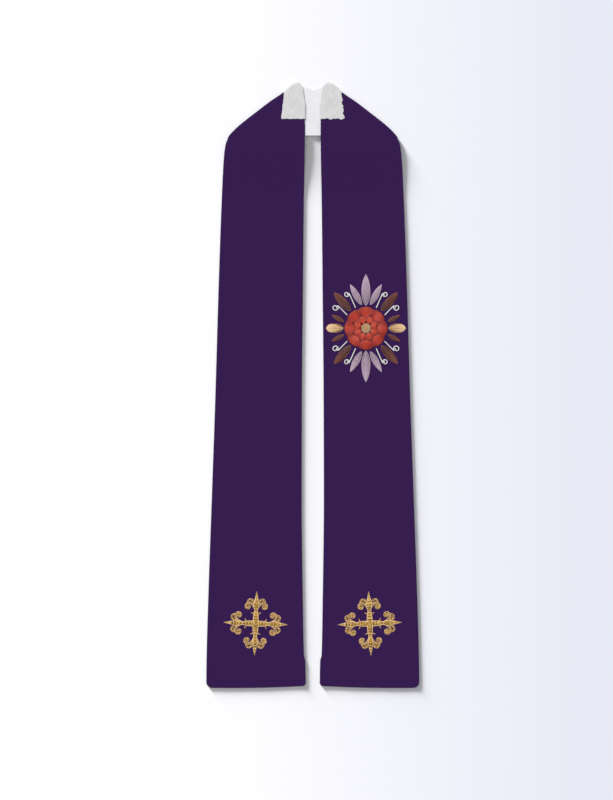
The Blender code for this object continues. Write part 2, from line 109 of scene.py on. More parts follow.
PAIRED_STROKES = {
    "scroll": ((0.0258, 0.0017, 0.0014), (0.0310, 0.0036, 0.0018), (0.0360, 0.0072, 0.0019),
               (0.0388, 0.0124, 0.0018), (0.0376, 0.0176, 0.0018), (0.0333, 0.0203, 0.0018),
               (0.0293, 0.0184, 0.0016), (0.0286, 0.0143, 0.0014), (0.0311, 0.0119, 0.0013),
               (0.0337, 0.0141, 0.0016)),
    "arch": ((0.0385, 0.0035, 0.0014), (0.0432, 0.0062, 0.0015), (0.0462, 0.0105, 0.0014),
             (0.0450, 0.0150, 0.0013), (0.0403, 0.0170, 0.0012)),
    "thorn": ((0.0185, 0.0030, 0.0016), (0.0194, 0.0066, 0.0010), (0.0208, 0.0098, 0.0003)),
}
PANEL_OFFSET = 0.1015
PANEL_HEIGHT = 0.6870
ROSE_RADIUS = 0.0410
ROSE_PETALS = 8
ROSE_THICKNESS = 0.0009
HEART_RADIUS = 0.0240
HEART_THICKNESS = 0.0007
BOSS_RADIUS = 0.0090
BOSS_THICKNESS = 0.0010
PETAL_THICKNESS = 0.0014
QUARTERS = {"upper_right": (1, 1), "upper_left": (-1, 1),
            "lower_right": (1, -1), "lower_left": (-1, -1)}
# Root across and along, turn from +Y, length, width
QUARTER_PIECES = {
    "side_petal": (0.0085, 0.0448, 29, 0.0440, 0.0120),
    "leaf": (0.0290, 0.0330, 42, 0.0470, 0.0150),
    "sepal": (0.0420, 0.0125, 62, 0.0260, 0.0085),
}
# Root distance from the middle, turn from +Y, length, width
AXIS_PIECES = {
    "top_petal": (0.0435, 0, 0.0590, 0.0165),
    "low_petal": (0.0435, 180, 0.0590, 0.0165),
    "left_bud": (0.0430, -90, 0.0335, 0.0170),
    "right_bud": (0.0430, 90, 0.0335, 0.0170),
}
TENDRIL_RADIUS = 0.0009
# Root distance and angle, curl distance and angle, curl radius
TENDRILS = {
    "upper_tendril": (0.0435, 27, 0.0745, 29.5, 0.0052),
    "lower_tendril": (0.0435, 55, 0.0705, 56.0, 0.0062),
}
TENDRIL_TURN = math.radians(430)
TENDRIL_POINTS = 14

# Lines of points beside a sewn edge: distance inwards, share of the cloth's thickness. The two
# layers meet in a shallow groove, so the outermost line lies a little inside the second.
EDGE_LINES = ((0.00030, 0.0), (0.0, 0.42), (0.00018, 0.70), (0.00060, 0.93), (0.00120, 1.0))
BAND_WIDTH = 0.172
SLOPE_ROWS, FOLD_ROWS, UNDER_ROWS = 56, 12, 26
# Halvings in the search for the place where a column meets the fold
HALVINGS = 40
# How far the shoulder fold rounds into the neck edge, and how far it flattens at the outer edge
NECK_CORNER = 0.0045
OUTER_CORNER = 0.009

# Creases laid in the face of the bands
# side, offset, height, direction in degrees, half length, half width, depth
CREASES = (
    (-1, 0.058, 0.315, 83, 0.110, 0.013, -0.00030),
    (-1, 0.146, 0.420, 97, 0.150, 0.017, 0.00026),
    (-1, 0.092, 0.590, 88, 0.170, 0.020, -0.00024),
    (-1, 0.130, 0.800, 78, 0.120, 0.014, 0.00028),
    (-1, 0.060, 0.900, 99, 0.100, 0.012, -0.00030),
    (-1, 0.110, 1.010, 28, 0.060, 0.010, 0.00030),
    (-1, 0.095, 0.245, 12, 0.050, 0.012, 0.00022),
    (1, 0.062, 0.300, 95, 0.100, 0.014, 0.00028),
    (1, 0.142, 0.380, 84, 0.140, 0.016, -0.00028),
    (1, 0.088, 0.510, 102, 0.080, 0.013, 0.00024),
    (1, 0.120, 0.885, 86, 0.090, 0.015, -0.00028),
    (1, 0.066, 0.960, 76, 0.080, 0.012, 0.00030),
    (1, 0.112, 1.020, 150, 0.060, 0.010, -0.00028),
    (1, 0.100, 0.235, 170, 0.045, 0.012, 0.00022),
)
# Where embroidery keeps the cloth level: side, offset, height, reach across, reach along
LEVEL_PLACES = (
    (-1, CROSS_OFFSET, CROSS_HEIGHT, 0.068, 0.068),
    (1, CROSS_OFFSET, CROSS_HEIGHT, 0.068, 0.068),
    (1, PANEL_OFFSET, PANEL_HEIGHT, 0.086, 0.110),
)
HEM_SEAM = 0.011
TURN_UP = 0.055
# How uneven cloth lies, and how far it puckers round embroidery
UNEVENNESS = 0.00007
PUCKER = 0.00006
# How far a band's rolled edge, its turned-up hem and its seam stand out or lie in
EDGE_ROLL = 0.00042
TURN_UP_RISE = 0.00012
SEAM_DEPTH = 0.00034
# The width and length of a neck flap's grid, the size of its fold, and how far it is puffed up
FLAP_WIDTH = 0.0425
FLAP_RISE = 0.0680
FLAP_FOLD_RADIUS = 0.0035
FLAP_PUFF = 0.0001

# Embroidery starts a little below the face of the cloth
STITCH_LEVEL = CLOTH - 0.0001
ROSE_TOP = FACE + ROSE_THICKNESS
HEART_TOP = ROSE_TOP + SEAM_GAP + HEART_THICKNESS
PANEL = (PANEL_OFFSET, PANEL_HEIGHT)
CORD = {"Step": 0.0006, "Twist_length": 0.0028, "Ply_depth": 0.45}
CROSS_CORD = {"Step": 0.00065, "Twist_length": 0.0032, "Ply_depth": 0.45}
TENDRIL_CORD = {"Step": 0.0005, "Twist_length": 0.0030, "Ply_depth": 0.40}
# How far each kind of stroke lies above the lowest kind
STROKE_LEVELS = {"thorn": 0.0, "arch": 0.00005, "scroll": 0.0001, "stem": 0.0002, "point": 0.0003}
# The chevrons over a cross's strokes: slant, spacing, tone. They are real stitches, but the light
# row is coloured as a painted highlight and the dark row as painted shade between stitches.
CHEVRONS = ((0.8, 0.0056, 0.85), (-0.8, 0.0047, -0.1))
CHEVRON_RADIUS = 0.0007
# Low stitches inside the curls and under the arches of a cross's arm: rows of along, across
# and half width, then the rise and the tone
CROSS_FILLS = (
    (((0.0292, 0.0158, 0.0030), (0.0325, 0.0162, 0.0040), (0.0355, 0.0150, 0.0030)), 0.0007, 0.40),
    # The row under the arches is in a dark tone, as painted shade beneath each arch
    (((0.0396, 0.0050, 0.0013), (0.0419, 0.0088, 0.0023), (0.0422, 0.0127, 0.0024),
      (0.0404, 0.0158, 0.0014)), 0.0004, 0.12),
)
BOSS_REACH = BOSS_RADIUS * 0.95
KNOT_STEP = 0.00125
# A knot or a running stitch is a small ball
BALL_SEGMENTS, BALL_RINGS = 6, 5
BALL_POINTS = BALL_SEGMENTS * (BALL_RINGS - 1) + 2
# How far the stitches on the neck cloth lie in from its borders
STITCH_INSET = 0.0022
# The dark and the light end of each rayon thread's colour, and its roughness. The dark end also
# colours the padding, as painted shade.
RAYONS = {
    "red": ((0.110, 0.006, 0.004), (0.620, 0.080, 0.040), 0.5),
    "lavender": ((0.110, 0.070, 0.120), (0.62, 0.50, 0.58), 0.5),
    "brown": ((0.022, 0.006, 0.005), (0.260, 0.085, 0.050), 0.55),
    "cream": ((0.260, 0.120, 0.050), (0.88, 0.70, 0.46), 0.55),
    "white": ((0.30, 0.28, 0.30), (0.92, 0.91, 0.90), 0.55),
}


def smooth_values(table, at):
    """Reads a table of (position, value) rows with a smooth curve that never overshoots."""
    knots, values = np.array(table).T
    slopes = np.diff(values) / np.diff(knots)
    before, after = np.append(slopes[0], slopes), np.append(slopes, slopes[-1])
    total = np.where(before * after > 0, before + after, 1.0)
    ends = np.where(before * after > 0, 2 * before * after / total, 0.0)
    at = np.clip(at, knots[0], knots[-1])
    row = np.clip(np.searchsorted(knots, at) - 1, 0, len(slopes) - 1)
    span = knots[row + 1] - knots[row]
    t = (at - knots[row]) / span
    return (values[row] * (1 + 2 * t) * (1 - t) ** 2 + values[row + 1] * t * t * (3 - 2 * t)
            + span * (ends[row] * t * (1 - t) ** 2 - ends[row + 1] * t * t * (1 - t)))


def smooth_step(t):
    t = np.clip(t, 0.0, 1.0)
    return t * t * (3 - 2 * t)


def bell(distance, width):
    """A soft hump, 1 at the middle, that fades out over about twice its width."""
    return np.exp(-(distance / width) ** 2)


def neck_edge(height):
    return smooth_values(NECK_EDGE, height)


def outer_edge(height):
    return smooth_values(OUTER_EDGE, height)


def flap_edge(height):
    """The free edge of the neck cloth on the face of the band."""
    share = (height - FLAP_FOOT) / (FLAP_TOP - FLAP_FOOT)
    return FLAP_LOW_OFFSET + (FLAP_HIGH_OFFSET - FLAP_LOW_OFFSET) * np.minimum(share, 1.0)


def fold_height(offset):
    """Height of the shoulder fold's axis at an offset."""
    (start, high), (end, low) = SHOULDER_FOLD[-2:]
    beyond = low + (offset - end) * (low - high) / (end - start)
    return np.where(offset > end, beyond, smooth_values(SHOULDER_FOLD, offset))


def square_to(line, at):
    """The direction square to a line that a function gives, as (along its axis, up from it)."""
    step = 0.001
    steepness = (line(at + step) - line(at - step)) / (2 * step)
    length = np.hypot(steepness, 1.0)
    return -steepness / length, 1.0 / length


def full_lift(offset):
    """How high the band lies over the folded neck at an offset."""
    start, end = SHOULDER_FOLD[0][0], SHOULDER_FOLD[-1][0]
    share = np.clip((offset - start) / (end - start), 0.0, 1.0)
    return LIFT_AT_NECK + (LIFT_AT_SHOULDER - LIFT_AT_NECK) * share


def lift(offset, height):
    """Height of the band's underside above the table."""
    return full_lift(offset) * smooth_step((height - SLOPE_FOOT) / (SLOPE_TOP - SLOPE_FOOT))


def rounded(radius, inset):
    """How far a rounded corner falls back, at a distance in from its edge."""
    short = np.clip(radius - inset, 0.0, radius)
    return radius - np.sqrt(radius ** 2 - short ** 2)


def hem_height(offset):
    """Height of the hem line at an offset, with its rounded corners."""
    inner, outer = neck_edge(0), outer_edge(0)
    rise = HEM_RISE * ((offset - HEM_LOW_OFFSET) / (HEM_LOW_OFFSET - inner)) ** 2
    return (rise + rounded(HEM_CORNERS["neck"], offset - inner)
            + rounded(HEM_CORNERS["outer"], outer - offset))


def across(share, height, far_edge):
    """Offset at a share of the way from the neck edge to another edge."""
    return neck_edge(height) + share * (far_edge(height) - neck_edge(height))


def column_tops(shares, far_edge):
    """Where the columns that follow both edges meet the fold's axis, as offsets and heights."""
    low = np.full(len(shares), SLOPE_TOP)
    high = np.full(len(shares), STOLE_LENGTH)
    for _ in range(HALVINGS):
        height = (low + high) / 2
        below = height < fold_height(across(shares, height, far_edge))
        low, high = np.where(below, height, low), np.where(below, high, height)
    return across(shares, low, far_edge), low


def place(side, offset, height, z):
    """Points from offsets and heights, on the left band at side -1 or the right one at 1."""
    parts = np.broadcast_arrays(side * np.asarray(offset, float), height - MIDDLE, z)
    return np.stack(parts, axis=-1)


def face_point(side, offset, height, out):
    """A point that lies out from the middle of the band's wall, on its face."""
    return place(side, offset, height, lift(offset, height) + CLOTH / 2 + out)


def fold_point(side, offset, turn, out, taper=1.0):
    """A point on the shoulder fold, turned from the face at 0 to the underside at pi."""
    normal = square_to(fold_height, offset)
    radius = full_lift(offset) / 2
    reach = (radius + out) * np.sin(turn) * taper
    z = CLOTH / 2 + radius + (radius + out) * np.cos(turn)
    return place(side, offset + normal[0] * reach, fold_height(offset) + normal[1] * reach, z)


def ladder(length, step, near=True, far=True):
    """Positions along a length with its edge lines, and the cloth's thickness share at each."""
    edge = np.array(EDGE_LINES)
    reach = edge[-1, 0]
    start, stop = (reach if near else 0.0), (length - reach if far else length)
    count = max(int(round((stop - start) / step)), 1)
    at, share = list(np.linspace(start, stop, count + 1)), [1.0] * (count + 1)
    if near:
        at[:1], share[:1] = edge[:, 0], edge[:, 1]
    if far:
        at[-1:], share[-1:] = length - edge[::-1, 0], edge[::-1, 1]
    return np.array(at), np.array(share)


def grid_normals(points, hand):
    """Directions square to a grid of points, on the face side of the cloth."""
    along, over = np.gradient(points, axis=0), np.gradient(points, axis=1)
    normal = hand * np.cross(over, along)
    return normal / np.linalg.norm(normal, axis=-1, keepdims=True)


def make_mesh(name, points, faces, material, tones=None, uvs=None):
    """A smooth mesh from arrays, with a tone for each point or a place on the cloth in metres."""
    mesh = bpy.data.meshes.new(name)
    mesh.from_pydata(points.tolist(), [], [list(map(int, face)) for face in faces])
    mesh.polygons.foreach_set("use_smooth", [True] * len(mesh.polygons))
    mesh.materials.append(material)
    if tones is not None:
        layer = mesh.attributes.new("tone", "FLOAT", "POINT")
        layer.data.foreach_set("value", np.asarray(tones, float))
    if uvs is not None:
        layer = mesh.uv_layers.new(name="ClothUV")
        corners = np.empty(len(mesh.loops), int)
        mesh.loops.foreach_get("vertex_index", corners)
        layer.data.foreach_set("uv", np.asarray(uvs, float)[corners].ravel())
    mesh.update()
    return mesh


def make_object(name, mesh):
    obj = bpy.data.objects.new(name, mesh)
    bpy.context.scene.collection.objects.link(obj)
    return obj


def cloth_shell(name, middle, over, under, hand, at, material):
    """A closed shell of cloth round a grid of middle points, with its rim welded."""
    rows, columns = middle.shape[:2]
    normal = grid_normals(middle, hand)
    top = (middle + normal * over[..., None]).reshape(-1, 3)
    bottom = (middle - normal * under[..., None]).reshape(-1, 3)
    upper = np.arange(rows * columns).reshape(rows, columns)
    inner = np.zeros((rows, columns), bool)
    inner[1:-1, 1:-1] = True
    lower = upper.copy()
    lower[inner] = rows * columns + np.arange(inner.sum())
    faces = []
    for ids, turned in ((upper, hand < 0), (lower, hand > 0)):
        quads = np.stack([ids[:-1, :-1], ids[:-1, 1:], ids[1:, 1:], ids[1:, :-1]], axis=-1)
        quads = quads.reshape(-1, 4)
        faces.append(quads[:, ::-1] if turned else quads)
    points = np.concatenate([top, bottom[inner.ravel()]])
    spine = middle[:, columns // 2]
    run = np.append(0.0, np.cumsum(np.linalg.norm(np.diff(spine, axis=0), axis=-1)))
    uvs = np.stack(np.broadcast_arrays(at[None, :], run[:, None]), axis=-1).reshape(-1, 2)
    uvs = np.concatenate([uvs, uvs[inner.ravel()]])
    return make_object(name, make_mesh(name, points, np.concatenate(faces), material, uvs=uvs))


def band_relief(side, offset, height):
    """How far the face of a band stands out from its plain form."""
    edge = np.minimum(offset - neck_edge(height), outer_edge(height) - offset)
    rolled = EDGE_ROLL * (1 - smooth_step((edge - 0.0062) / 0.0045))
    turned_up = TURN_UP_RISE * (1 - smooth_step((height - TURN_UP + 0.003) / 0.007))
    seam = -SEAM_DEPTH * bell(height - hem_height(offset) - HEM_SEAM, 0.0009)
    uneven = (np.sin(offset * 61 + height * 9 + side) * np.sin(height * 23 + offset * 17 + 2 * side)
              + 0.6 * np.sin(height * 47 - offset * 83 + 3 * side))
    soft = UNEVENNESS * uneven
    for which, at, up, turn, long, wide, depth in CREASES:
        if which != side:
            continue
        run, aside = offset - at, height - up
        turn = math.radians(turn)
        far = run * math.cos(turn) + aside * math.sin(turn)
        off = aside * math.cos(turn) - run * math.sin(turn) + 0.006 * np.sin(far * 23 + at * 90)
        waver = 1 + 0.25 * np.sin(far * 31 + up * 40)
        soft = soft + depth * waver * bell(off, wide) * bell(far, long * 0.75)
    for which, at, up, wide, long in LEVEL_PLACES:
        if which == side:
            reach = np.hypot((offset - at) / wide, (height - up) / long)
            angle = np.arctan2((height - up) / long, (offset - at) / wide)
            pucker = PUCKER * bell(reach - 1.16, 0.14) * np.sin(9 * angle + 2 * side)
            soft = soft * smooth_step((reach - 0.94) / 0.22) + pucker
    quiet = smooth_step((1.055 - height) / 0.03) + smooth_step((offset - 0.066) / 0.02)
    soft = soft * np.clip(quiet, 0, 1) * smooth_step(edge / 0.012)
    rolled = rolled * smooth_step((1.070 - height) / 0.02 + (offset > 0.070))
    return rolled + turned_up + seam + soft


def band_columns():
    """Distances of a band's columns from its neck edge, close together beside its corners."""
    edge = np.array(EDGE_LINES)
    near = np.array([0.0020, 0.0029, 0.0038, 0.0048, 0.0060, 0.0072, 0.0085, 0.0098, 0.0112,
                     0.0130, 0.0155])
    middle = np.linspace(0.0195, BAND_WIDTH - 0.0195, 27)
    at = [edge[:, 0], near, middle, BAND_WIDTH - near[::-1], BAND_WIDTH - edge[::-1, 0]]
    share = [edge[:, 1], np.ones(2 * len(near) + len(middle)), edge[::-1, 1]]
    return np.concatenate(at), np.concatenate(share)


def lowered(points, drop):
    """Points moved towards the hems."""
    return points - np.stack(np.broadcast_arrays(0.0, drop, 0.0), axis=-1)


def band_heights():
    """Heights of the band's rows below the slope, with the share of thickness at each."""
    edge = np.array(EDGE_LINES)
    fine = np.concatenate([
        [0.0022, 0.0036, 0.0052, 0.0070, 0.0086], np.arange(0.0095, 0.0127, 0.0005),
        [0.0140, 0.0165, 0.0200, 0.0245, 0.0290, 0.0335, 0.0380, 0.0425, 0.0470],
        np.arange(0.0500, 0.0640, 0.0012),
    ])
    coarse = np.linspace(0.068, LEVEL_TOP, 156)
    heights = np.concatenate([edge[:, 0], fine, coarse])
    return heights, np.concatenate([edge[:, 1], np.ones(len(fine) + len(coarse))])


def make_band(side, name, material):
    """A band's cloth from its hem, over the shoulder fold, to the seam behind the neck."""
    at, column_share = band_columns()
    shares = at / BAND_WIDTH
    offsets, tops = column_tops(shares, outer_edge)
    drop = rounded(NECK_CORNER, offsets - offsets.min())
    tops = tops - drop
    taper = 1 - np.clip(1 - (offsets.max() - offsets) / OUTER_CORNER, 0.0, 1.0) ** 2
    levels, row_share = band_heights()
    start = hem_height(np.clip(across(shares, 0, outer_edge), neck_edge(0), outer_edge(0)))
    heights = [start + (LEVEL_TOP - start) * level / LEVEL_TOP for level in levels]
    heights += [LEVEL_TOP + (tops - LEVEL_TOP) * step / SLOPE_ROWS
                for step in range(1, SLOPE_ROWS + 1)]
    rows, relief = [], []
    for height in heights:
        offset = across(shares, height, outer_edge)
        rows.append(face_point(side, offset, height, 0))
        relief.append(band_relief(side, offset, height))
    for step in range(1, FOLD_ROWS + 1):
        turn = math.pi * step / FOLD_ROWS
        rows.append(lowered(fold_point(side, offsets, turn, 0, taper), drop))
        relief.append(relief[-1] * math.cos(turn / 2) ** 2)
    fold_end = rows[-1]
    seam = place(side, SEAM_GAP / 2, NECK_SEAM_HEIGHT - NECK_SEAM_LENGTH * shares, CLOTH / 2)
    reach = np.linalg.norm(seam - fold_end, axis=-1)[:, None]
    ends = np.array(EDGE_LINES)[::-1]
    for step in range(1, UNDER_ROWS + 1):
        rows.append(fold_end + (seam - fold_end) * (1 - ends[0, 0] / reach) * step / UNDER_ROWS)
    for inset, _ in ends[1:]:
        rows.append(seam + (fold_end - seam) * (inset / reach))
    plain = np.ones(SLOPE_ROWS + FOLD_ROWS + UNDER_ROWS)
    row_share = np.concatenate([row_share, plain, ends[1:, 1]])
    share = row_share[:, None] * column_share[None, :]
    raised = np.zeros(share.shape)
    raised[:len(relief)] = np.array(relief)
    over = share * (CLOTH / 2 + raised)
    return cloth_shell(name, np.array(rows), over, share * CLOTH / 2, side, at, material)


def ragged(side, at):
    """How far the hand-turned border of a neck cloth strays, at a distance along it."""
    size = {-1: 0.00025, 1: 0.00085}[side]
    return size * (np.sin(at * 330 + side) + 0.7 * np.sin(at * 610 + 2.1) + 0.4 * np.sin(at * 1150))


def neck_relief(at, up):
    """The soft, uneven streaks of the thin neck cloth."""
    waves = (np.sin(at * 1300 + 2.0 * np.sin(up * 140)) * np.sin(up * 210 + at * 300)
             + 0.8 * np.sin(at * 700 - up * 260 + 1) * np.sin(up * 420 + 2))
    return UNEVENNESS * waves


def flap_foot(side, offset):
    """Height of the neck cloth's lower border at an offset."""
    return FLAP_FOOT + ragged(side, offset + 0.3)


def flap_border(side, height):
    """Offset of the neck cloth's free border at a height."""
    return flap_edge(height) + ragged(side, height) * smooth_step((FLAP_TOP - height) / 0.01)


def make_neck_flap(side, name, material):
    """The neck cloth on the face: round the neck edge and over the shoulder fold."""
    out = CLOTH / 2 + SEAM_GAP + NECK_CLOTH / 2
    far, column_share = ladder(FLAP_WIDTH, 0.0011, far=False)
    shares = 1 - far / FLAP_WIDTH
    wraps = np.linspace(0, math.pi, 9)[1:]
    back, back_share = ladder(FLAP_RETURN, 0.0016, near=False)
    back, back_share = back[1:], back_share[1:]
    up, row_share = ladder(FLAP_RISE, 0.0013, far=False)
    offsets, tops = column_tops(shares, flap_edge)
    inner = offsets[-1]
    drop, deepest = rounded(NECK_CORNER, offsets - inner), rounded(NECK_CORNER, 0.0)
    tops = tops - drop
    turns, turn_share = ladder(FLAP_TUCK * FLAP_FOLD_RADIUS, 0.00075, near=False)
    turns, turn_share = turns[1:] / FLAP_FOLD_RADIUS, turn_share[1:]
    foot = flap_foot(side, across(shares, FLAP_FOOT, flap_edge))
    rows = []
    for level in up / FLAP_RISE:
        settle = (1 - level) ** 2
        height = foot * settle + FLAP_FOOT * (1 - settle) + (tops - FLAP_FOOT) * level
        border = flap_border(side, height) - flap_edge(height)
        offset = across(shares, height, flap_edge) + border * shares ** 3
        face = face_point(side, offset, height, out + neck_relief(offset, height) + FLAP_PUFF)
        height = height[-1]
        edge = neck_edge(height)
        lean, outward = square_to(neck_edge, height)
        round_out = out + FLAP_PUFF * np.cos(wraps / 2)
        reach = round_out * np.sin(wraps)
        wrapped = face_point(side, edge - outward * reach, height - lean * reach,
                             round_out * np.cos(wraps))
        fallen = rounded(NECK_CORNER, edge + back - inner)
        inside = np.minimum(height, fold_height(edge + back) - fallen)
        rows.append(np.concatenate([face, wrapped, face_point(side, edge + back, inside, -out)]))
    normal = square_to(fold_height, inner)
    aside = np.array([-side * normal[1], normal[0], 0.0])
    for turn in turns:
        puffed = out + FLAP_PUFF * math.cos(turn / 2)
        face = lowered(fold_point(side, offsets, turn, puffed), drop)
        wrapped = fold_point(side, np.full(len(wraps), inner), turn, out * np.cos(wraps))
        wrapped = lowered(wrapped + aside * (out * np.sin(wraps))[:, None], deepest)
        returned = lowered(fold_point(side, inner + back, turn, -out), rounded(NECK_CORNER, back))
        rows.append(np.concatenate([face, wrapped, returned]))
    columns = np.concatenate([column_share, np.ones(len(wraps)), back_share])
    half = np.concatenate([row_share, turn_share])[:, None] * columns[None, :] * NECK_CLOTH / 2
    run = np.concatenate([far, FLAP_WIDTH + out * wraps, FLAP_WIDTH + out * math.pi + back])
    return cloth_shell(name, np.array(rows), half, half, -side, run, material)


def make_neck_inside(name, material):
    """The neck cloth inside the neck, which joins the two flaps behind it."""
    gap = SEAM_GAP + NECK_CLOTH / 2
    out = CLOTH / 2 + gap
    fold_offset, fold_top = column_tops(np.array([0.0]), outer_edge)
    slope = (fold_top[0] - NECK_CORNER - NECK_SEAM_HEIGHT) / fold_offset[0]
    reach = out * math.hypot(slope, 1)
    width = 2 * INSIDE_LOW_HALF_WIDTH
    at, column_share = ladder(width, 0.0014)
    sides = 2 * at / width - 1
    length = NECK_SEAM_HEIGHT - INSIDE_LOW_HEIGHT
    up, row_share = ladder(length, 0.0016, far=False)
    turns, turn_share = ladder(out * math.pi / 2, 0.0005, near=False)
    rows = []
    for share in up / length:
        half = INSIDE_LOW_HALF_WIDTH + (INSIDE_HIGH_HALF_WIDTH - INSIDE_LOW_HALF_WIDTH) * share
        offset = half * sides
        edge = NECK_SEAM_HEIGHT + slope * np.abs(offset)
        height = INSIDE_LOW_HEIGHT + (edge - INSIDE_LOW_HEIGHT) * share
        raised = neck_relief(offset + 0.2, height) * 0.8
        rows.append(place(1, offset, height, CLOTH + gap + raised))
    offset = INSIDE_HIGH_HALF_WIDTH * sides
    edge = NECK_SEAM_HEIGHT + slope * np.abs(offset)
    for turn in turns[1:] / out:
        height, level = edge + reach * math.sin(turn), CLOTH / 2 + out * math.cos(turn)
        rows.append(place(1, offset, height, level))
    share = np.concatenate([row_share, turn_share[1:]])[:, None] * column_share[None, :]
    half = share * NECK_CLOTH / 2
    return cloth_shell(name, np.array(rows), half, half, 1, at, material)


def find_socket(sockets, key):
    """A socket by its place, or by name among those in use."""
    if isinstance(key, int):
        return sockets[key]
    return next(socket for socket in sockets if socket.name == key and socket.enabled)


def add_node(tree, kind, inputs=(), key=0, **settings):
    """An output of a new node, with its settings, its values and its links."""
    node = tree.nodes.new(kind)
    for name, value in settings.items():
        setattr(node, name, value)
    for name, value in dict(inputs).items():
        socket = find_socket(node.inputs, name)
        if isinstance(value, bpy.types.NodeSocket):
            tree.links.new(value, socket)
        else:
            socket.default_value = value
    return find_socket(node.outputs, key)


def calculate(tree, operation, *values):
    """The result of a Math node."""
    return add_node(tree, "ShaderNodeMath", dict(enumerate(values)), operation=operation)


def weighed(tree, value, amount):
    """A value between 0 and 1, as a swing about nothing of a given size."""
    return calculate(tree, "MULTIPLY", calculate(tree, "SUBTRACT", value, 0.5), amount)


def combined(tree, *parts):
    """A vector from its three parts."""
    return add_node(tree, "ShaderNodeCombineXYZ", dict(enumerate(parts)))


def start_tree(name, sizes, counts=()):
    """A Geometry Nodes tree that takes a path, sizes, counts and a material."""
    tree = bpy.data.node_groups.new(name, "GeometryNodeTree")
    kinds = {"Path": "Geometry", **dict.fromkeys(sizes, "Float"), **dict.fromkeys(counts, "Int"),
             "Material": "Material"}
    for label, kind in kinds.items():
        tree.interface.new_socket(label, in_out="INPUT", socket_type=f"NodeSocket{kind}")
    tree.interface.new_socket("Geometry", in_out="OUTPUT", socket_type="NodeSocketGeometry")
    return tree, tree.nodes.new("NodeGroupInput").outputs


def end_tree(tree, geometry, material):
    """Realize Instances and Set Material at the end of a tree."""
    realized = add_node(tree, "GeometryNodeRealizeInstances", {"Geometry": geometry})
    smooth = add_node(tree, "GeometryNodeSetShadeSmooth", {"Geometry": realized})
    painted = add_node(tree, "GeometryNodeSetMaterial", {"Geometry": smooth, "Material": material})
    tree.links.new(painted, tree.nodes.new("NodeGroupOutput").inputs[0])
    return tree


def named_value(tree, name):
    return add_node(tree, "GeometryNodeInputNamedAttribute", {"Name": name}, "Attribute",
                    data_type="FLOAT")


def random_value(tree, low, high, seed):
    return add_node(tree, "FunctionNodeRandomValue", {"Min": low, "Max": high, "Seed": seed},
                    "Value", data_type="FLOAT")


def facing_along(tree):
    """A rotation that turns +Y along the path and keeps +Z up."""
    tangent = add_node(tree, "GeometryNodeInputTangent")
    return add_node(tree, "FunctionNodeAlignRotationToVector", {"Vector": tangent},
                    axis="Y", pivot_axis="Z")


def spots_along(tree, path, step):
    """A path as a curve with a point at each step."""
    curve = add_node(tree, "GeometryNodeMeshToCurve", {"Mesh": path})
    return add_node(tree, "GeometryNodeResampleCurve", {"Curve": curve, "Length": step},
                    mode="LENGTH")


def circle(tree, points, radius):
    """A ring, for the section of a thread or a cord."""
    return add_node(tree, "GeometryNodeCurvePrimitiveCircle",
                    {"Resolution": points, "Radius": radius}, mode="RADIUS")


def moved(tree, geometry, position):
    return add_node(tree, "GeometryNodeSetPosition", {"Geometry": geometry, "Position": position})


def laid_on(tree, spots, thing, rotation, scale):
    """A thing laid on each spot of a path, turned and scaled."""
    return add_node(tree, "GeometryNodeInstanceOnPoints", {
        "Points": spots, "Instance": thing, "Rotation": rotation, "Scale": scale})


def satin_tree():
    """Threads that lie side by side across a path and arch over its padding."""
    tree, given = start_tree("Satin stitch", ("Spacing", "Thread radius", "Slant", "Uneven"),
                             ("Thread steps", "Seed"))
    spots = spots_along(tree, given["Path"], given["Spacing"])
    line = add_node(tree, "GeometryNodeCurvePrimitiveLine", {"Start": (-1, 0, 0), "End": (1, 0, 0)})
    line = add_node(tree, "GeometryNodeResampleCurve",
                    {"Curve": line, "Count": given["Thread steps"]}, mode="COUNT")
    run = add_node(tree, "ShaderNodeSeparateXYZ", {0: add_node(tree, "GeometryNodeInputPosition")})
    angle = calculate(tree, "MULTIPLY", run, math.pi / 2)
    aside = calculate(tree, "SINE", angle)
    lean = calculate(tree, "MULTIPLY", calculate(tree, "ABSOLUTE", aside), given["Slant"])
    thread = moved(tree, line, combined(tree, aside, lean, calculate(tree, "COSINE", angle)))
    low = calculate(tree, "SUBTRACT", 1.0, given["Uneven"])
    high = calculate(tree, "ADD", 1.0, given["Uneven"])
    loose = random_value(tree, low, high, given["Seed"])
    wide = calculate(tree, "MULTIPLY", named_value(tree, "half"), loose)
    tall = calculate(tree, "MULTIPLY", named_value(tree, "rise"), loose)
    laid = laid_on(tree, spots, thread, facing_along(tree), combined(tree, wide, wide, tall))
    stray = random_value(tree, -0.16, 0.16, calculate(tree, "ADD", given["Seed"], 1))
    toned = add_node(tree, "GeometryNodeStoreNamedAttribute", {
        "Geometry": laid, "Name": "tone",
        "Value": calculate(tree, "ADD", named_value(tree, "tone"), stray)},
        data_type="FLOAT", domain="INSTANCE")
    threads = add_node(tree, "GeometryNodeRealizeInstances", {"Geometry": toned})
    solid = add_node(tree, "GeometryNodeCurveToMesh", {
        "Curve": threads, "Profile Curve": circle(tree, 4, given["Thread radius"])})
    return end_tree(tree, solid, given["Material"])


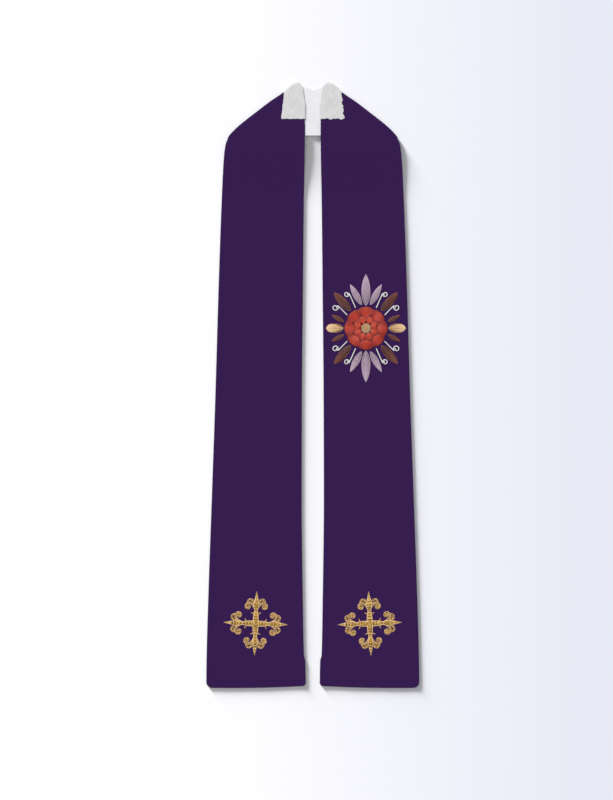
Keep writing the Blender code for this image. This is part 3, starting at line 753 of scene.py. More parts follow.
def cord_tree():
    """A cord of two plies that twist round each other along a path."""
    tree, given = start_tree("Twisted cord", ("Step", "Twist length", "Ply depth"))
    spots = spots_along(tree, given["Path"], given["Step"])
    upright = add_node(tree, "GeometryNodeSetCurveNormal", {"Curve": spots}, mode="Z_UP")
    run = add_node(tree, "GeometryNodeSplineParameter", (), "Length")
    turn = calculate(tree, "DIVIDE", run, given["Twist length"])
    turn = calculate(tree, "MULTIPLY", turn, math.tau)
    twisted = add_node(tree, "GeometryNodeSetCurveTilt", {"Curve": upright, "Tilt": turn})
    spot = add_node(tree, "GeometryNodeInputPosition")
    apart = calculate(tree, "ABSOLUTE", add_node(tree, "ShaderNodeSeparateXYZ", {0: spot}))
    swell = calculate(tree, "ADD", calculate(tree, "MULTIPLY", apart, given["Ply depth"]), 0.8)
    lobed = add_node(tree, "ShaderNodeVectorMath", {0: spot, "Scale": swell}, operation="SCALE")
    solid = add_node(tree, "GeometryNodeCurveToMesh", {
        "Curve": twisted, "Profile Curve": moved(tree, circle(tree, 6, 1.0), lobed),
        "Scale": named_value(tree, "half"), "Fill Caps": True})
    return end_tree(tree, solid, given["Material"])


def stitch_tree():
    """Short stitches, or knots, that stand at even steps along a path."""
    tree, given = start_tree("Running stitch", (
        "Spacing", "Half length", "Thread radius", "Turn", "Uneven"), ("Seed",))
    spots = spots_along(tree, given["Path"], given["Spacing"])
    ball = add_node(tree, "GeometryNodeMeshUVSphere", {
        "Segments": BALL_SEGMENTS, "Rings": BALL_RINGS, "Radius": 1.0})
    stray = random_value(tree, calculate(tree, "MULTIPLY", given["Uneven"], -1.0), given["Uneven"],
                         given["Seed"])
    turn = combined(tree, 0.0, 0.0, calculate(tree, "ADD", given["Turn"], stray))
    rotation = add_node(tree, "FunctionNodeRotateRotation",
                        {"Rotation": facing_along(tree), "Rotate By": turn}, rotation_space="LOCAL")
    scale = combined(tree, given["Thread radius"], given["Half length"], given["Thread radius"])
    return end_tree(tree, laid_on(tree, spots, ball, rotation, scale), given["Material"])


class Path:
    """Lines of points for thread to follow, with a half width, a rise and a tone at each."""

    def __init__(self):
        self.lines = []

    def add(self, points, half=0.0, rise=0.0, tone=0.5):
        count = len(points)
        values = [np.broadcast_to(np.asarray(v, float), (count,)) for v in (half, rise, tone)]
        self.lines.append((np.asarray(points, float), *values))

    def mesh(self):
        points = np.concatenate([line[0] for line in self.lines])
        edges, start = [], 0
        for line in self.lines:
            edges += [(start + i, start + i + 1) for i in range(len(line[0]) - 1)]
            start += len(line[0])
        mesh = bpy.data.meshes.new("path")
        mesh.from_pydata(points.tolist(), edges, [])
        for index, name in enumerate(("half", "rise", "tone"), 1):
            layer = mesh.attributes.new(name, "FLOAT", "POINT")
            layer.data.foreach_set("value", np.concatenate([line[index] for line in self.lines]))
        return mesh


def follow(path, tree, material, tone=None, **sizes):
    """The mesh that a tree makes along a path, as points, faces and tones, or all in one tone."""
    obj = make_object("path", path.mesh())
    modifier = obj.modifiers.new("Thread", "NODES")
    modifier.node_group = tree
    named = {item.name: item.identifier for item in tree.interface.items_tree
             if item.item_type == "SOCKET" and item.in_out == "INPUT"}
    for label, value in {"Material": material, **sizes}.items():
        modifier[named[label.replace("_", " ")]] = value
    bpy.context.view_layer.update()
    graph = bpy.context.evaluated_depsgraph_get()
    mesh = bpy.data.meshes.new_from_object(obj.evaluated_get(graph))
    bpy.data.objects.remove(obj)
    points, faces, tones = read_mesh(mesh)
    bpy.data.meshes.remove(mesh)
    return points, faces, tones if tone is None else np.full(len(points), tone)


def read_mesh(mesh):
    points = np.empty(len(mesh.vertices) * 3)
    mesh.vertices.foreach_get("co", points)
    corners = np.empty(len(mesh.loops), int)
    mesh.loops.foreach_get("vertex_index", corners)
    ends = np.empty(len(mesh.polygons), int)
    mesh.polygons.foreach_get("loop_start", ends)
    faces = np.split(corners, ends[1:])
    tones = np.full(len(mesh.vertices), 0.5)
    if "tone" in mesh.attributes:
        mesh.attributes["tone"].data.foreach_get("value", tones)
    return points.reshape(-1, 3), faces, tones


def gather(name, parts, material):
    """One object from several meshes' points, faces and tones."""
    points, faces, tones, start = [], [], [], 0
    for part_points, part_faces, part_tones in parts:
        points.append(part_points)
        faces += [np.asarray(face) + start for face in part_faces]
        tones.append(part_tones)
        start += len(part_points)
    mesh = make_mesh(name, np.concatenate(points), faces, material, tones=np.concatenate(tones))
    return make_object(name, mesh)


def sideways(points):
    """The direction to the right of a line on the cloth, at each of its points."""
    along = np.gradient(points, axis=0)
    along /= np.maximum(np.linalg.norm(along, axis=-1, keepdims=True), 1e-12)
    return np.stack([along[:, 1], -along[:, 0], np.zeros(len(along))], axis=-1)


def beside(points, distance):
    """Points at a signed distance to the right of a line on the cloth."""
    return points + sideways(points) * np.asarray(distance)[..., None]


def tube_faces(rows, columns):
    """Faces round a tube of rows of points, with its ends filled."""
    ids = np.arange(rows * columns).reshape(rows, columns)
    after = np.roll(ids, -1, axis=1)
    faces = np.stack([ids[:-1], after[:-1], after[1:], ids[1:]], axis=-1).reshape(-1, 4)
    return [*faces, ids[0][::-1], ids[-1]]


def padding_as_painted_shade(path, steps=7):
    """The padding under satin threads: a low arch along each line, closed beneath, in the darkest
    tone as painted shade between the threads.
    """
    parts = []
    angles = np.linspace(math.pi, 0, steps)
    for points, half, rise, _ in path.lines:
        half, rise = half * 0.93, rise * 0.93
        arch = (points[:, None]
                + sideways(points)[:, None] * (half[:, None] * np.cos(angles))[..., None]
                + np.array([0, 0, 1]) * (rise[:, None] * np.sin(angles))[..., None])
        rows, columns = arch.shape[:2]
        # Tone 0 gives the darkest end of the thread's colour: painted shade that shows between the
        # threads
        parts.append((arch.reshape(-1, 3), tube_faces(rows, columns), np.zeros(rows * columns)))
    return parts


def satin_along(path, sizes, materials, thread, seed, slant, uneven, steps, spacing=1.0):
    """Satin threads along a path, at a multiple of the usual spacing."""
    return follow(path, materials.satin, thread, Spacing=sizes.thread_spacing * spacing,
                  Thread_radius=sizes.thread_radius, Slant=slant, Uneven=uneven,
                  Thread_steps=steps, Seed=seed)


def embroider(name, threads, cords, sizes, materials, thread, edge_tone, *laid):
    """A piece in satin stitch over padding, edged with cord in one tone."""
    satin = satin_along(threads, sizes, materials, thread, *laid)
    edging = follow(cords, materials.cord, thread, edge_tone, **CORD)
    return gather(name, [*padding_as_painted_shade(threads, 9), satin, edging], thread)


def curve_through(points, steps):
    """Points on a smooth curve through rows of numbers, with some steps a stretch."""
    rows = np.array(points, float)
    padded = np.concatenate([[2 * rows[0] - rows[1]], rows, [2 * rows[-1] - rows[-2]]])
    found = [rows[0]]
    for a, b, c, d in zip(padded, padded[1:], padded[2:], padded[3:]):
        for i in range(1, steps + 1):
            t = i / steps
            found.append(0.5 * (2 * b + (c - a) * t + (2 * a - 5 * b + 4 * c - d) * t * t
                                + (3 * b - a - 3 * c + d) * t ** 3))
    return np.array(found)


def turned(points, angle):
    """Rows of (x, y) turned anticlockwise by an angle."""
    c, s = math.cos(angle), math.sin(angle)
    x, y = points[:, 0], points[:, 1]
    return np.stack([x * c - y * s, x * s + y * c], axis=-1)


def on_cloth(flat, origin, level):
    """Rows of (x, y) placed round an (offset, height) origin on the right side's axes."""
    x, y = origin
    return np.stack([flat[:, 0] + x, flat[:, 1] + y - MIDDLE, np.full(len(flat), level)], axis=-1)


def cross_strokes():
    """Every stroke of a cross, as (quarter turns, kind, points of along, across and half width)."""
    outward = np.array(STEM, float)
    inward = outward[:0:-1] * (-1, 1, 1)
    stem = curve_through(np.concatenate([inward, outward]), 4)
    found = [(0, "stem", stem), (1, "stem", stem)]
    for quarter in range(4):
        found.append((quarter, "point", curve_through(ARM_POINT, 5)))
        for kind, rows in PAIRED_STROKES.items():
            for hand in (-1, 1):
                pair = np.array(rows) * (1, hand, 1)
                found.append((quarter, kind, curve_through(pair, 5)))
    return found


def make_cross(side, name, sizes, materials):
    """A cross with scrolled arms in raised satin stitch, under chevrons and edged with cord."""
    threads, cords, overlay = Path(), Path(), Path()
    outline, gold = sizes.cross_outline_radius, materials.gold

    def on_band(rows, quarter):
        flat = turned(rows[:, :2], math.pi / 2 * quarter + side * CROSS_TILT)
        return on_cloth(flat, (side * CROSS_OFFSET, CROSS_HEIGHT), STITCH_LEVEL)

    for quarter, kind, rows in cross_strokes():
        points, width = on_band(rows, quarter), rows[:, 2]
        half = np.maximum(width - 0.8 * outline, 0.0003)
        rise = width * THREAD_SQUASH + 0.0003 + STROKE_LEVELS[kind]
        swing = np.sin(np.linspace(0, 1, len(rows)) * 19 + quarter * 2.2 + side)
        threads.add(points, half, rise, 0.50 + 0.10 * swing - 0.10 * (kind in PAIRED_STROKES))
        if kind != "thorn":
            overlay.add(points, half, rise - 0.0001)
        thin = outline * np.clip(width / 0.0030, 0.35, 1.0)
        for hand in (-1, 1):
            edge = beside(points, hand * np.maximum(width - 0.7 * thin, 0.0))
            edge[:, 2] += width * THREAD_SQUASH * 0.42 + 0.0002 + STROKE_LEVELS[kind]
            cords.add(edge, thin)
    for quarter in range(4):
        for table, rise, tone in CROSS_FILLS:
            for hand in (-1, 1):
                rows = curve_through(np.array(table) * (1, hand, 1), 4)
                threads.add(on_band(rows, quarter), rows[:, 2], rise, tone)
    parts = [*padding_as_painted_shade(threads),
             satin_along(threads, sizes, materials, gold, 11 + side, 0.35, 0.05, 6),
             follow(cords, materials.cord, gold, 1.2, **CROSS_CORD)]
    # Light chevrons in a painted highlight, dark ones in painted shade
    for slant, spacing, tone in CHEVRONS:
        parts.append(follow(overlay, materials.satin, gold, tone, Spacing=spacing,
                            Thread_radius=CHEVRON_RADIUS, Slant=slant, Uneven=0.06,
                            Thread_steps=8, Seed=15 + side))
    return gather(name, parts, gold)


def petal_rows(length, width, count=30):
    """The midrib of a petal along +Y from its root, as (x, y) rows and half widths."""
    share = np.linspace(0.0, 1.0, count)
    plump = np.sin(math.pi * share ** 0.85).clip(0) ** 0.8
    return np.stack([np.zeros(count), share * length], axis=-1), plump * width / 2, plump


def make_petals(name, spots, sizes, thread, materials, slant, tones, seed):
    """Petals or leaves in slanted satin stitch with a corded edge and midrib."""
    threads, cords = Path(), Path()
    outline = sizes.outline_radius
    for x, y, turn, length, width in spots:
        rows, half, plump = petal_rows(length, width)
        flat = turned(rows, -math.radians(turn)) + (x, y)
        points = on_cloth(flat, PANEL, STITCH_LEVEL)
        rise = plump * PETAL_THICKNESS + 0.0003
        threads.add(points, np.maximum(half - outline * 0.7, 0.0002), rise,
                    np.linspace(tones[0], tones[1], len(points)))
        for hand in (-1, 1):
            edge = beside(points, hand * np.maximum(half - outline * 0.6, 0.0))
            edge[:, 2] += 0.0004
            cords.add(edge, outline * 0.85)
        rib = points[2:-3].copy()
        rib[:, 2] += rise[2:-3]
        cords.add(rib, outline * 0.55)
    return embroider(name, threads, cords, sizes, materials, thread, tones[2], seed, slant, 0.03, 8)


def petal_spots(kind):
    """Where the four petals or leaves of a kind stand: root, turn, length and width."""
    x, y, turn, length, width = QUARTER_PIECES[kind]
    return [(across_sign * x, along_sign * y,
             across_sign * (turn if along_sign > 0 else 180 - turn), length, width)
            for across_sign, along_sign in QUARTERS.values()]


def polar(reach, angle):
    """Points (x, y) at a distance and an angle from +X."""
    return np.stack(np.broadcast_arrays(reach * np.cos(angle), reach * np.sin(angle)), axis=-1)


def axis_spots(*names):
    found = []
    for name in names:
        reach, turn, length, width = AXIS_PIECES[name]
        angle = math.radians(turn)
        found.append((reach * math.sin(angle), reach * math.cos(angle), turn, length, width))
    return found


def rose_ring(radius, inside, depth, turn, level, thickness, tones):
    """Paths for one round of rose petals: its radial threads, and the cords that edge it."""
    threads, cords = Path(), Path()
    angle = np.linspace(0, math.tau, 321)
    lobe = np.abs(np.cos(ROSE_PETALS * angle / 2))
    rim = radius * (1 - depth * (1 - lobe) ** 2)
    path = on_cloth(polar((rim + inside) / 2, angle + turn), PANEL, level)
    threads.add(path, (rim - inside) / 2, thickness * (0.55 + 0.45 * lobe ** 0.5),
                tones[0] + (tones[1] - tones[0]) * lobe)
    cords.add(on_cloth(polar(rim - 0.0003, angle + turn), PANEL, level + 0.0004), 0.00045)
    reach = np.linspace(inside, radius * (1 - depth) - 0.0006, 16)
    share = np.clip((reach - reach[0]) / (reach[-1] - reach[0]), 0.04, 0.96)
    for petal in range(ROSE_PETALS):
        way = turn + math.tau * (petal + 0.5) / ROSE_PETALS
        parting = on_cloth(polar(reach, way), PANEL, level)
        parting[:, 2] += thickness * 0.55 * np.sin(math.pi * share) + 0.0001
        cords.add(parting, 0.0004)
    return threads, cords


def make_boss(name, materials):
    """The middle of the rose: a low dome that is covered with small knots."""
    rings, count = 9, 48

    def circle_at(around, reach, rise):
        level = HEART_TOP + SEAM_GAP - 0.0006 + (BOSS_THICKNESS + 0.0002) * rise
        return on_cloth(polar(reach, around), PANEL, level)

    around = np.linspace(0, math.tau, count, endpoint=False)
    rows = [circle_at(around, max(BOSS_REACH * math.cos(turn), 1e-4), math.sin(turn))
            for turn in np.linspace(0, math.pi / 2, rings)]
    # The dome is in a dark tone: painted shade between the knots
    dome = (np.concatenate(rows), tube_faces(rings, count), np.full(rings * count, 0.1))
    path, reach = Path(), BOSS_REACH
    while reach > KNOT_STEP / 2:
        rise = math.sqrt(1 - (reach / BOSS_RADIUS) ** 2)
        path.add(circle_at(np.linspace(0, math.tau, 40), reach, rise))
        reach -= KNOT_STEP
    points, faces, _ = follow(path, materials.stitch, materials.cream, Spacing=KNOT_STEP,
                              Half_length=0.00060, Thread_radius=0.00062, Turn=0.0, Uneven=0.5,
                              Seed=5)
    tones = 0.5 + 0.3 * np.sin(np.arange(len(points)) // BALL_POINTS * 2.4)
    return gather(name, [dome, (points, faces, tones)], materials.cream)


def tendril_points(root_reach, root_angle, curl_reach, curl_angle, curl_radius):
    """A stem that runs out from the rose and curls up at its end."""
    root = polar(root_reach, math.radians(90 - root_angle))
    curl = polar(curl_reach, math.radians(90 - curl_angle))
    inward = root - curl
    share = np.linspace(0, 1, TENDRIL_POINTS)
    angle = math.atan2(inward[1], inward[0]) - math.radians(60) + TENDRIL_TURN * share
    return np.concatenate([[root], curl + polar(curl_radius * (1 - 0.62 * share), angle)])


def make_tendrils(name, materials):
    """The curled tendrils between the petals, in couched white cord."""
    cords = Path()
    for row in TENDRILS.values():
        points = curve_through(tendril_points(*row), 4)
        for signs in QUARTERS.values():
            level = FACE + TENDRIL_RADIUS * 0.75
            cords.add(on_cloth(points * signs, PANEL, level), TENDRIL_RADIUS)
    cord = follow(cords, materials.cord, materials.white, 0.6, **TENDRIL_CORD)
    return gather(name, [cord], materials.white)


def make_hem_stitches(side, name, materials):
    """The tiny stitches in the seam above a hem."""
    path = Path()
    offset = np.linspace(neck_edge(0) + 0.004, outer_edge(0) - 0.005, 60)
    height = hem_height(offset) + HEM_SEAM
    path.add(face_point(side, offset, height, CLOTH / 2 + band_relief(side, offset, height)))
    found = follow(path, materials.stitch, materials.band, Spacing=0.0032, Half_length=0.0011,
                   Thread_radius=0.00022, Turn=0.0, Uneven=0.06, Seed=21 + side)
    return gather(name, [found], materials.band)


def make_neck_stitches(name, materials):
    """The stitches that hold the borders of the neck cloth down."""
    path = Path()
    out = CLOTH / 2 + SEAM_GAP + NECK_CLOTH + FLAP_PUFF
    for side in (-1, 1):
        offset, height = np.linspace(0.0185, 0.0575, 40), np.linspace(FLAP_FOOT + 0.003, 1.134, 50)
        for line in ((offset, flap_foot(side, offset) + STITCH_INSET),
                     (flap_border(side, height) - STITCH_INSET, height)):
            path.add(face_point(side, *line, out + neck_relief(*line)))
    found = follow(path, materials.stitch, materials.neck, Spacing=0.0034, Half_length=0.0010,
                   Thread_radius=0.00026, Turn=0.25, Uneven=0.25, Seed=31)
    return gather(name, [found], materials.neck)


def start_material(name, roughness):
    """A material, with its node tree and its shader."""
    material = bpy.data.materials.new(name)
    material.use_nodes = True
    tree = material.node_tree
    shader = tree.nodes["Principled BSDF"]
    shader.inputs["Roughness"].default_value = roughness
    return material, tree, shader


def set_values(shader, **values):
    """Sets a shader's own sockets by name."""
    for name, value in values.items():
        shader.inputs[name.replace("_", " ")].default_value = value


def colour_ramp(tree, value, stops):
    """A colour read from stops of (position, colour)."""
    found = add_node(tree, "ShaderNodeValToRGB", {"Fac": value}, "Color")
    ramp = found.node.color_ramp
    while len(ramp.elements) < len(stops):
        ramp.elements.new(0.5)
    for element, (at, colour) in zip(ramp.elements, stops):
        element.position = at
        element.color = (*colour, 1.0)
    return found


def noise(tree, vector, scale, detail=2.0, roughness=0.5):
    return add_node(tree, "ShaderNodeTexNoise", {
        "Vector": vector, "Scale": scale, "Detail": detail, "Roughness": roughness})


def add_bump(tree, shader, height, strength, distance):
    bumped = add_node(tree, "ShaderNodeBump", {
        "Height": height, "Strength": strength, "Distance": distance})
    tree.links.new(bumped, shader.inputs["Normal"])


def cloth_material(name, colour, pitch, mottle, streaks, bump, roughness, sheen):
    """Woven cloth: crossing yarns of a pitch, mottling, and streaks along the warp."""
    material, tree, shader = start_material(name, roughness)
    spot = add_node(tree, "ShaderNodeUVMap", uv_map="ClothUV")
    wander = calculate(tree, "MULTIPLY", noise(tree, spot, 900.0, 1.0), 3.0)
    yarns = []
    for run in add_node(tree, "ShaderNodeSeparateXYZ", {0: spot}).node.outputs[:2]:
        run = calculate(tree, "MULTIPLY", run, math.tau / pitch)
        yarns.append(calculate(tree, "SINE", calculate(tree, "ADD", run, wander)))
    weave = calculate(tree, "MULTIPLY", *yarns)
    grain = noise(tree, spot, 2600.0)
    height = calculate(tree, "ADD", calculate(tree, "MULTIPLY", weave, 0.35), grain)
    stretched = add_node(tree, "ShaderNodeMapping", {"Vector": spot, "Scale": (1.0, 0.16, 1.0)})
    streak = noise(tree, stretched, 620.0, 3.0, 0.6)
    cloud = noise(tree, spot, 46.0, 3.0, 0.55)
    shade = calculate(tree, "ADD", weighed(tree, streak, streaks), weighed(tree, cloud, mottle))
    shade = calculate(tree, "ADD", shade, calculate(tree, "MULTIPLY", weave, 0.04))
    dark = tuple(c * 0.55 for c in colour)
    light = tuple(min(c * 1.45, 1.0) for c in colour)
    paint = colour_ramp(tree, calculate(tree, "ADD", shade, 0.5),
                        ((0.0, dark), (0.5, colour), (1.0, light)))
    tree.links.new(paint, shader.inputs["Base Color"])
    streaky = calculate(tree, "MULTIPLY", streak, streaks * 2)
    add_bump(tree, shader, calculate(tree, "ADD", height, streaky), 0.6, bump)
    set_values(shader, Sheen_Weight=sheen, Sheen_Roughness=0.5, Specular_IOR_Level=0.08)
    return material


def thread_material(name, stops, roughness, patches=0.25):
    """Embroidery thread: its tone from the piece's own attribute, with patches and fine fibres."""
    material, tree, shader = start_material(name, roughness)
    varied = add_node(tree, "ShaderNodeAttribute", (), "Fac", attribute_name="tone")
    spot = add_node(tree, "ShaderNodeTexCoord", (), "Object")
    for scale, amount in ((1400.0, 0.35), (250.0, patches)):
        varied = calculate(tree, "ADD", varied, weighed(tree, noise(tree, spot, scale), amount))
    tree.links.new(colour_ramp(tree, varied, stops), shader.inputs["Base Color"])
    add_bump(tree, shader, noise(tree, spot, 5200.0), 0.35, 0.00004)
    set_values(shader, Sheen_Weight=0.08, Sheen_Roughness=0.4, Anisotropic=0.4)
    return material


class Materials:
    """The finishes and the thread patterns that the pieces share."""

    def __init__(self, scene):
        cloth, thread = scene.stole_cloth, scene.stole_thread
        for key, name, colour, *values in (
                ("band", "purple_crepe", cloth.band_colour, 0.10, 0.06, 0.00008, 0.92, 0.02),
                ("neck", "white_cotton", cloth.neck_colour, 0.34, 0.42, 0.00016, 0.95, 0.05),
                # A lighter copy of the neck cloth for the inside of the neck, as painted light
                ("lining", "white_cotton_back", cloth.neck_inside_painted_light_colour,
                 0.20, 0.20, 0.00012, 0.95, 0.05)):
            setattr(self, key, cloth_material(name, colour, cloth.weave_pitch, *values))
        # The darkest stops serve as painted shade on the padding and the dark chevrons, and the
        # bright yellow stop at 0.80 as a painted highlight on the light chevrons
        self.gold = thread_material("gold_rayon", (
            (0.05, (0.080, 0.030, 0.006)), (0.32, (0.360, 0.180, 0.022)),
            (0.60, tuple(thread.gold)), (0.80, (0.900, 0.640, 0.160)),
            (0.98, (0.850, 0.570, 0.320))), 0.42, 1.3)
        for key, (dark, light, roughness) in RAYONS.items():
            stops = ((0.05, dark), (0.5, tuple(getattr(thread, key))), (0.95, light))
            setattr(self, key, thread_material(f"{key}_rayon", stops, roughness))
        self.satin, self.cord, self.stitch = satin_tree(), cord_tree(), stitch_tree()


SHARED = {}


def shared(scene):
    """The materials and trees, made once and found again by the later operators."""
    if "materials" not in SHARED:
        SHARED["materials"] = Materials(scene)
    return SHARED["materials"]


def finish_piece(obj, slot, *nodes):
    """Puts a piece on the stole's one body in place of the CAD nodes, which it hides; the slot is
    not used.
    """
    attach(obj, "root")
    if nodes:
        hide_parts(*nodes)


def make_floor(sizes):
    """A plain pale table top under the stole, with painted shade that makes it darker and bluer
    towards the right.
    """
    corners = sizes.floor_reach * np.array([(-1, -1, 0), (1, -1, 0), (1, 1, 0), (-1, 1, 0)])
    material, tree, shader = start_material("pale_table", 0.9)
    spot = add_node(tree, "ShaderNodeTexCoord", (), "Object")
    across_view = add_node(tree, "ShaderNodeSeparateXYZ", {0: spot})
    colour, shaded = tuple(sizes.floor_colour), tuple(sizes.floor_shaded_colour)
    half_way = tuple((a + b) / 2 for a, b in zip(colour, shaded))
    # Painted shade: the table's colour falls off towards the right
    painted_shade_ramp = colour_ramp(tree, calculate(tree, "ADD", across_view, 0.5), (
        (0.38, colour), (0.68, half_way), (1.0, shaded)))
    tree.links.new(painted_shade_ramp, shader.inputs["Base Color"])
    set_values(shader, Specular_IOR_Level=0.1)
    floor = make_object("table_top", make_mesh("table_top", corners, [(0, 1, 2, 3)], material))
    return floor


def make_lamp(name, strength, softness, height, bearing, table, state):
    """A broad lamp that lights the table alone, or all but the table."""
    lamp = bpy.data.lights.new(name, "SUN")
    lamp.energy = strength
    lamp.angle = softness
    obj = make_object(name, lamp)
    direction = Vector((math.cos(height) * math.cos(bearing), math.cos(height) * math.sin(bearing),
                        math.sin(height)))
    obj.rotation_euler = direction.to_track_quat("Z", "Y").to_euler()
    obj.location = direction * 3
    lit = bpy.data.collections.new(f"{name}_lights")
    lit.objects.link(table)
    lit.collection_objects[0].light_linking.link_state = state
    obj.light_linking.receiver_collection = lit


def make_light(sizes, table):
    """Soft daylight from all round, one lamp for the stole and a low one for its shadow."""
    world = bpy.data.worlds.new("studio")
    bpy.context.scene.world = world
    world.use_nodes = True
    sky = world.node_tree.nodes["Background"]
    sky.inputs["Color"].default_value = (*sizes.sky_colour, 1.0)
    sky.inputs["Strength"].default_value = sizes.sky_strength
    make_lamp("window", sizes.lamp_strength, sizes.lamp_softness, sizes.lamp_height,
              sizes.lamp_bearing, table, "EXCLUDE")
    low = sizes.lamp_strength * math.sin(sizes.lamp_height) / math.sin(sizes.shadow_lamp_height)
    make_lamp("low_window", low, sizes.shadow_lamp_softness, sizes.shadow_lamp_height,
              sizes.shadow_lamp_bearing, table, "INCLUDE")


def make_camera(sizes):
    """A camera straight above with a long lens."""
    camera = bpy.data.cameras.new("overhead")
    camera.lens = 100.0
    camera.sensor_fit = "VERTICAL"
    camera.sensor_height = 36.0
    camera.clip_end = 100.0
    obj = make_object("overhead", camera)
    distance = sizes.view_height * camera.lens / camera.sensor_height
    obj.location = (*sizes.view_centre, distance)
    bpy.context.scene.camera = obj
    bpy.context.scene.view_settings.view_transform = "Standard"


def length_setting(name, description, default, **limits):
    return FloatProperty(name=name, description=description, default=default, precision=5,
                         unit="LENGTH", **limits)


def strength_setting(name, description, default):
    return FloatProperty(name=name, description=description, default=default, min=0.0)


def angle_setting(name, description, degrees):
    return FloatProperty(name=name, description=description, default=math.radians(degrees),
                         subtype="ANGLE")


def colour_setting(name, description, *default):
    return FloatVectorProperty(name=name, description=description, default=default, min=0, max=1,
                               subtype="COLOR")


class ClothSettings(bpy.types.PropertyGroup):
    """Sizes and colours of the cloth."""

    weave_pitch: length_setting(
        "Weave pitch", "Distance from one yarn to the next", 0.0006, min=0.0002, max=0.003)
    band_colour: colour_setting("Band colour", "Colour of the two bands", 0.032, 0.0094, 0.070)
    neck_colour: colour_setting(
        "Neck cloth colour", "Colour of the cloth round the neck", 0.65, 0.65, 0.65)
    # Painted light: the same neck cloth, given a lighter colour inside the neck to stand in for
    # light where it lies in shade
    neck_inside_painted_light_colour: colour_setting(
        "Neck cloth back", "Colour of the neck cloth's other side, inside the neck",
        0.79, 0.79, 0.82)


class ThreadSettings(bpy.types.PropertyGroup):
    """Sizes and colours of the embroidery."""

    thread_spacing: length_setting(
        "Thread spacing", "Distance from one satin thread to the next", 0.00045,
        min=0.0002, max=0.003)
    thread_radius: length_setting(
        "Thread radius", "Half the thickness of a satin thread", 0.00026, min=0.0001, max=0.002)
    outline_radius: length_setting(
        "Outline radius", "Half the thickness of the cord round each petal", 0.00055,
        min=0.0001, max=0.003)
    cross_outline_radius: length_setting(
        "Cross outline radius", "Half the thickness of the cord round the crosses", 0.00070,
        min=0.0001, max=0.003)
    gold: colour_setting("Gold", "Colour of the crosses", 0.60, 0.360, 0.060)
    red: colour_setting("Red", "Colour of the rose", 0.45, 0.03, 0.015)
    lavender: colour_setting("Lavender", "Colour of the long petals", 0.40, 0.29, 0.38)
    brown: colour_setting("Brown", "Colour of the leaves and sepals", 0.10, 0.025, 0.016)
    cream: colour_setting("Cream", "Colour of the buds and the boss", 0.72, 0.48, 0.25)
    white: colour_setting("White", "Colour of the tendrils", 0.75, 0.74, 0.72)


class StageSettings(bpy.types.PropertyGroup):
    """The table, the light and the view."""

    floor_reach: length_setting("Table reach", "Half the width of the table top", 15.0, min=1.0)
    floor_colour: colour_setting("Table colour", "Colour of the table top", 0.93, 0.93, 0.95)
    # Painted shade: the table top's colour towards the right, darker and bluer
    floor_shaded_colour: colour_setting(
        "Shaded table colour", "Colour of the table top towards the right", 0.755, 0.77, 0.865)
    sky_colour: colour_setting("Sky colour", "Colour of the light all round", 1.0, 1.0, 1.0)
    sky_strength: strength_setting("Sky strength", "Strength of the light all round", 0.41)
    lamp_strength: strength_setting("Lamp strength", "Strength of the lamp on the stole", 2.7)
    lamp_softness: angle_setting("Lamp softness", "Angle that this lamp fills", 20)
    lamp_height: angle_setting("Lamp height", "Angle of this lamp above the table", 50)
    lamp_bearing: angle_setting("Lamp bearing", "Direction of this lamp from +X", 118)
    shadow_lamp_softness: angle_setting(
        "Low lamp softness", "Angle that the lamp on the table fills", 14)
    shadow_lamp_height: angle_setting(
        "Low lamp height", "Angle of the lamp on the table above it", 7.5)
    shadow_lamp_bearing: angle_setting(
        "Low lamp bearing", "Direction of the lamp on the table from +X", 125)
    view_centre: FloatVectorProperty(
        name="View centre", description="Point that the camera looks down on", size=2,
        default=(-0.0119, -0.0289), unit="LENGTH")
    view_height: length_setting(
        "View height", "Length on the table that fills the view", 1.528, min=0.1)


class STOLE_OT_bands(bpy.types.Operator):
    """Make the two purple bands and the stitches above their hems"""

    bl_idname = "stole.bands"
    bl_label = "Bands"

    def execute(self, context):
        materials = shared(context.scene)
        for side, hand in ((-1, "left"), (1, "right")):
            band = make_band(side, f"{hand}_band_cloth", materials.band)
            finish_piece(band, "band_cloth", f"{hand}_band")
            stitches = make_hem_stitches(side, f"{hand}_hem_stitches", materials)
            finish_piece(stitches, "band_cloth")
        return {"FINISHED"}


class STOLE_OT_neck_cloth(bpy.types.Operator):
    """Make the white cloth round the neck and its stitches"""

    bl_idname = "stole.neck_cloth"
    bl_label = "Neck cloth"

    def execute(self, context):
        materials = shared(context.scene)
        for side, hand in ((-1, "left"), (1, "right")):
            flap = make_neck_flap(side, f"{hand}_neck_cloth", materials.neck)
            finish_piece(flap, "neck_cloth", f"{hand}_neck_flap")
        # The inside piece takes the lighter copy of the neck cloth, painted light
        inside = make_neck_inside("inner_neck_cloth", materials.lining)
        finish_piece(inside, "neck_cloth", "neck_inside")
        finish_piece(make_neck_stitches("neck_stitches", materials), "neck_cloth")
        return {"FINISHED"}


class STOLE_OT_crosses(bpy.types.Operator):
    """Embroider the gold crosses near the hems"""

    bl_idname = "stole.crosses"
    bl_label = "Crosses"

    def execute(self, context):
        scene = context.scene
        for side, hand in ((-1, "left"), (1, "right")):
            cross = make_cross(side, f"{hand}_gold_cross", scene.stole_thread, shared(scene))
            finish_piece(cross, "gold_thread", f"{hand}_cross")
        return {"FINISHED"}


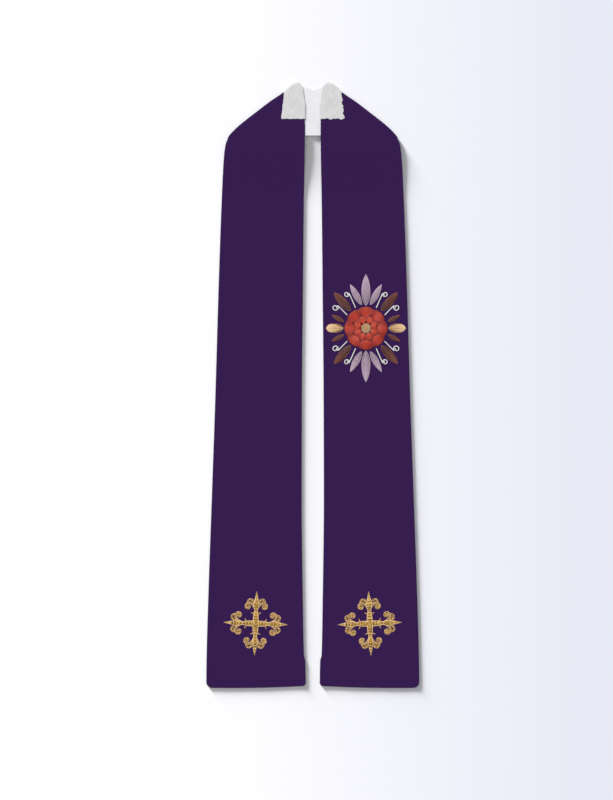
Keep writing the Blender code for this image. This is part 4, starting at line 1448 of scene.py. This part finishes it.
class STOLE_OT_rose(bpy.types.Operator):
    """Embroider the rose in the middle of the flower panel"""

    bl_idname = "stole.rose"
    bl_label = "Rose"

    def execute(self, context):
        materials, sizes = shared(context.scene), context.scene.stole_thread
        for name, node, radius, inside, depth, turn, level, top, tones, seed, edge_tone in (
                ("red_outer_petals", "rose_petals", ROSE_RADIUS, 0.0215, 0.14, 0.0,
                 STITCH_LEVEL, ROSE_TOP, (0.28, 0.62), 41, 0.12),
                ("red_inner_petals", "rose_heart", HEART_RADIUS, 0.0080, 0.16,
                 math.pi / ROSE_PETALS, STITCH_LEVEL + 0.0008, HEART_TOP, (0.45, 0.85), 43, 0.20)):
            threads, cords = rose_ring(radius, inside, depth, turn, level, top - level, tones)
            piece = embroider(name, threads, cords, sizes, materials, materials.red, edge_tone,
                              seed, 0.0, 0.02, 8, 0.85)
            finish_piece(piece, "red_thread", node)
        finish_piece(make_boss("knotted_boss", materials), "cream_thread", "rose_boss")
        return {"FINISHED"}


class STOLE_OT_petals(bpy.types.Operator):
    """Embroider the petals, buds, leaves and sepals round the rose"""

    bl_idname = "stole.petals"
    bl_label = "Petals and leaves"

    def execute(self, context):
        materials, sizes = shared(context.scene), context.scene.stole_thread
        corners = list(QUARTERS)
        rows = (
            ("long_petals", axis_spots("top_petal", "low_petal") + petal_spots("side_petal"),
             materials.lavender, "lavender_thread", 0.7, (0.35, 0.72, 0.85),
             ["top_petal", "low_petal"] + [f"{corner}_side_petal" for corner in corners]),
            ("buds", axis_spots("left_bud", "right_bud"), materials.cream, "cream_thread", 0.8,
             (0.35, 0.75, 0.2), ["left_bud", "right_bud"]),
            ("leaves", petal_spots("leaf"), materials.brown, "brown_thread", 1.0, (0.4, 0.7, 0.9),
             [f"{corner}_leaf" for corner in corners]),
            ("sepals", petal_spots("sepal"), materials.brown, "brown_thread", 1.0, (0.4, 0.7, 0.9),
             [f"{corner}_sepal" for corner in corners]),
        )
        for seed, (name, spots, thread, slot, slant, tones, nodes) in enumerate(rows, 51):
            piece = make_petals(name, spots, sizes, thread, materials, slant, tones, seed)
            finish_piece(piece, slot, *nodes)
        tendrils = make_tendrils("curled_tendrils", materials)
        finish_piece(tendrils, "white_thread",
                     *[f"{corner}_{name}" for corner in corners for name in TENDRILS])
        return {"FINISHED"}


class STOLE_OT_stage(bpy.types.Operator):
    """Set the table top, the light and the camera"""

    bl_idname = "stole.stage"
    bl_label = "Stage"

    def execute(self, context):
        sizes = context.scene.stole_stage
        make_light(sizes, make_floor(sizes))
        make_camera(sizes)
        return {"FINISHED"}


OPERATORS = (STOLE_OT_stage, STOLE_OT_bands, STOLE_OT_neck_cloth, STOLE_OT_crosses, STOLE_OT_rose,
             STOLE_OT_petals)
SETTINGS = {"stole_cloth": ClothSettings, "stole_thread": ThreadSettings,
            "stole_stage": StageSettings}


class STOLE_PT_panel(bpy.types.Panel):
    """The stole's settings and the steps that make it"""

    bl_idname = "STOLE_PT_panel"
    bl_label = "Clerical Stole"
    bl_space_type = "VIEW_3D"
    bl_region_type = "UI"
    bl_category = "Stole"

    def draw(self, context):
        for name, settings in SETTINGS.items():
            column = self.layout.column(align=True)
            for key in settings.__annotations__:
                column.prop(getattr(context.scene, name), key)
        for operator in OPERATORS:
            self.layout.operator(operator.bl_idname)


CLASSES = (*SETTINGS.values(), *OPERATORS, STOLE_PT_panel)


def register():
    for cls in CLASSES:
        bpy.utils.register_class(cls)
    for name, settings in SETTINGS.items():
        setattr(bpy.types.Scene, name, PointerProperty(type=settings))


def unregister():
    for name in SETTINGS:
        delattr(bpy.types.Scene, name)
    for cls in reversed(CLASSES):
        bpy.utils.unregister_class(cls)


def main():
    register()
    bpy.ops.stole.stage()
    bpy.ops.stole.bands()
    bpy.ops.stole.neck_cloth()
    bpy.ops.stole.crosses()
    bpy.ops.stole.rose()
    bpy.ops.stole.petals()


if __name__ == "__main__":
    main()
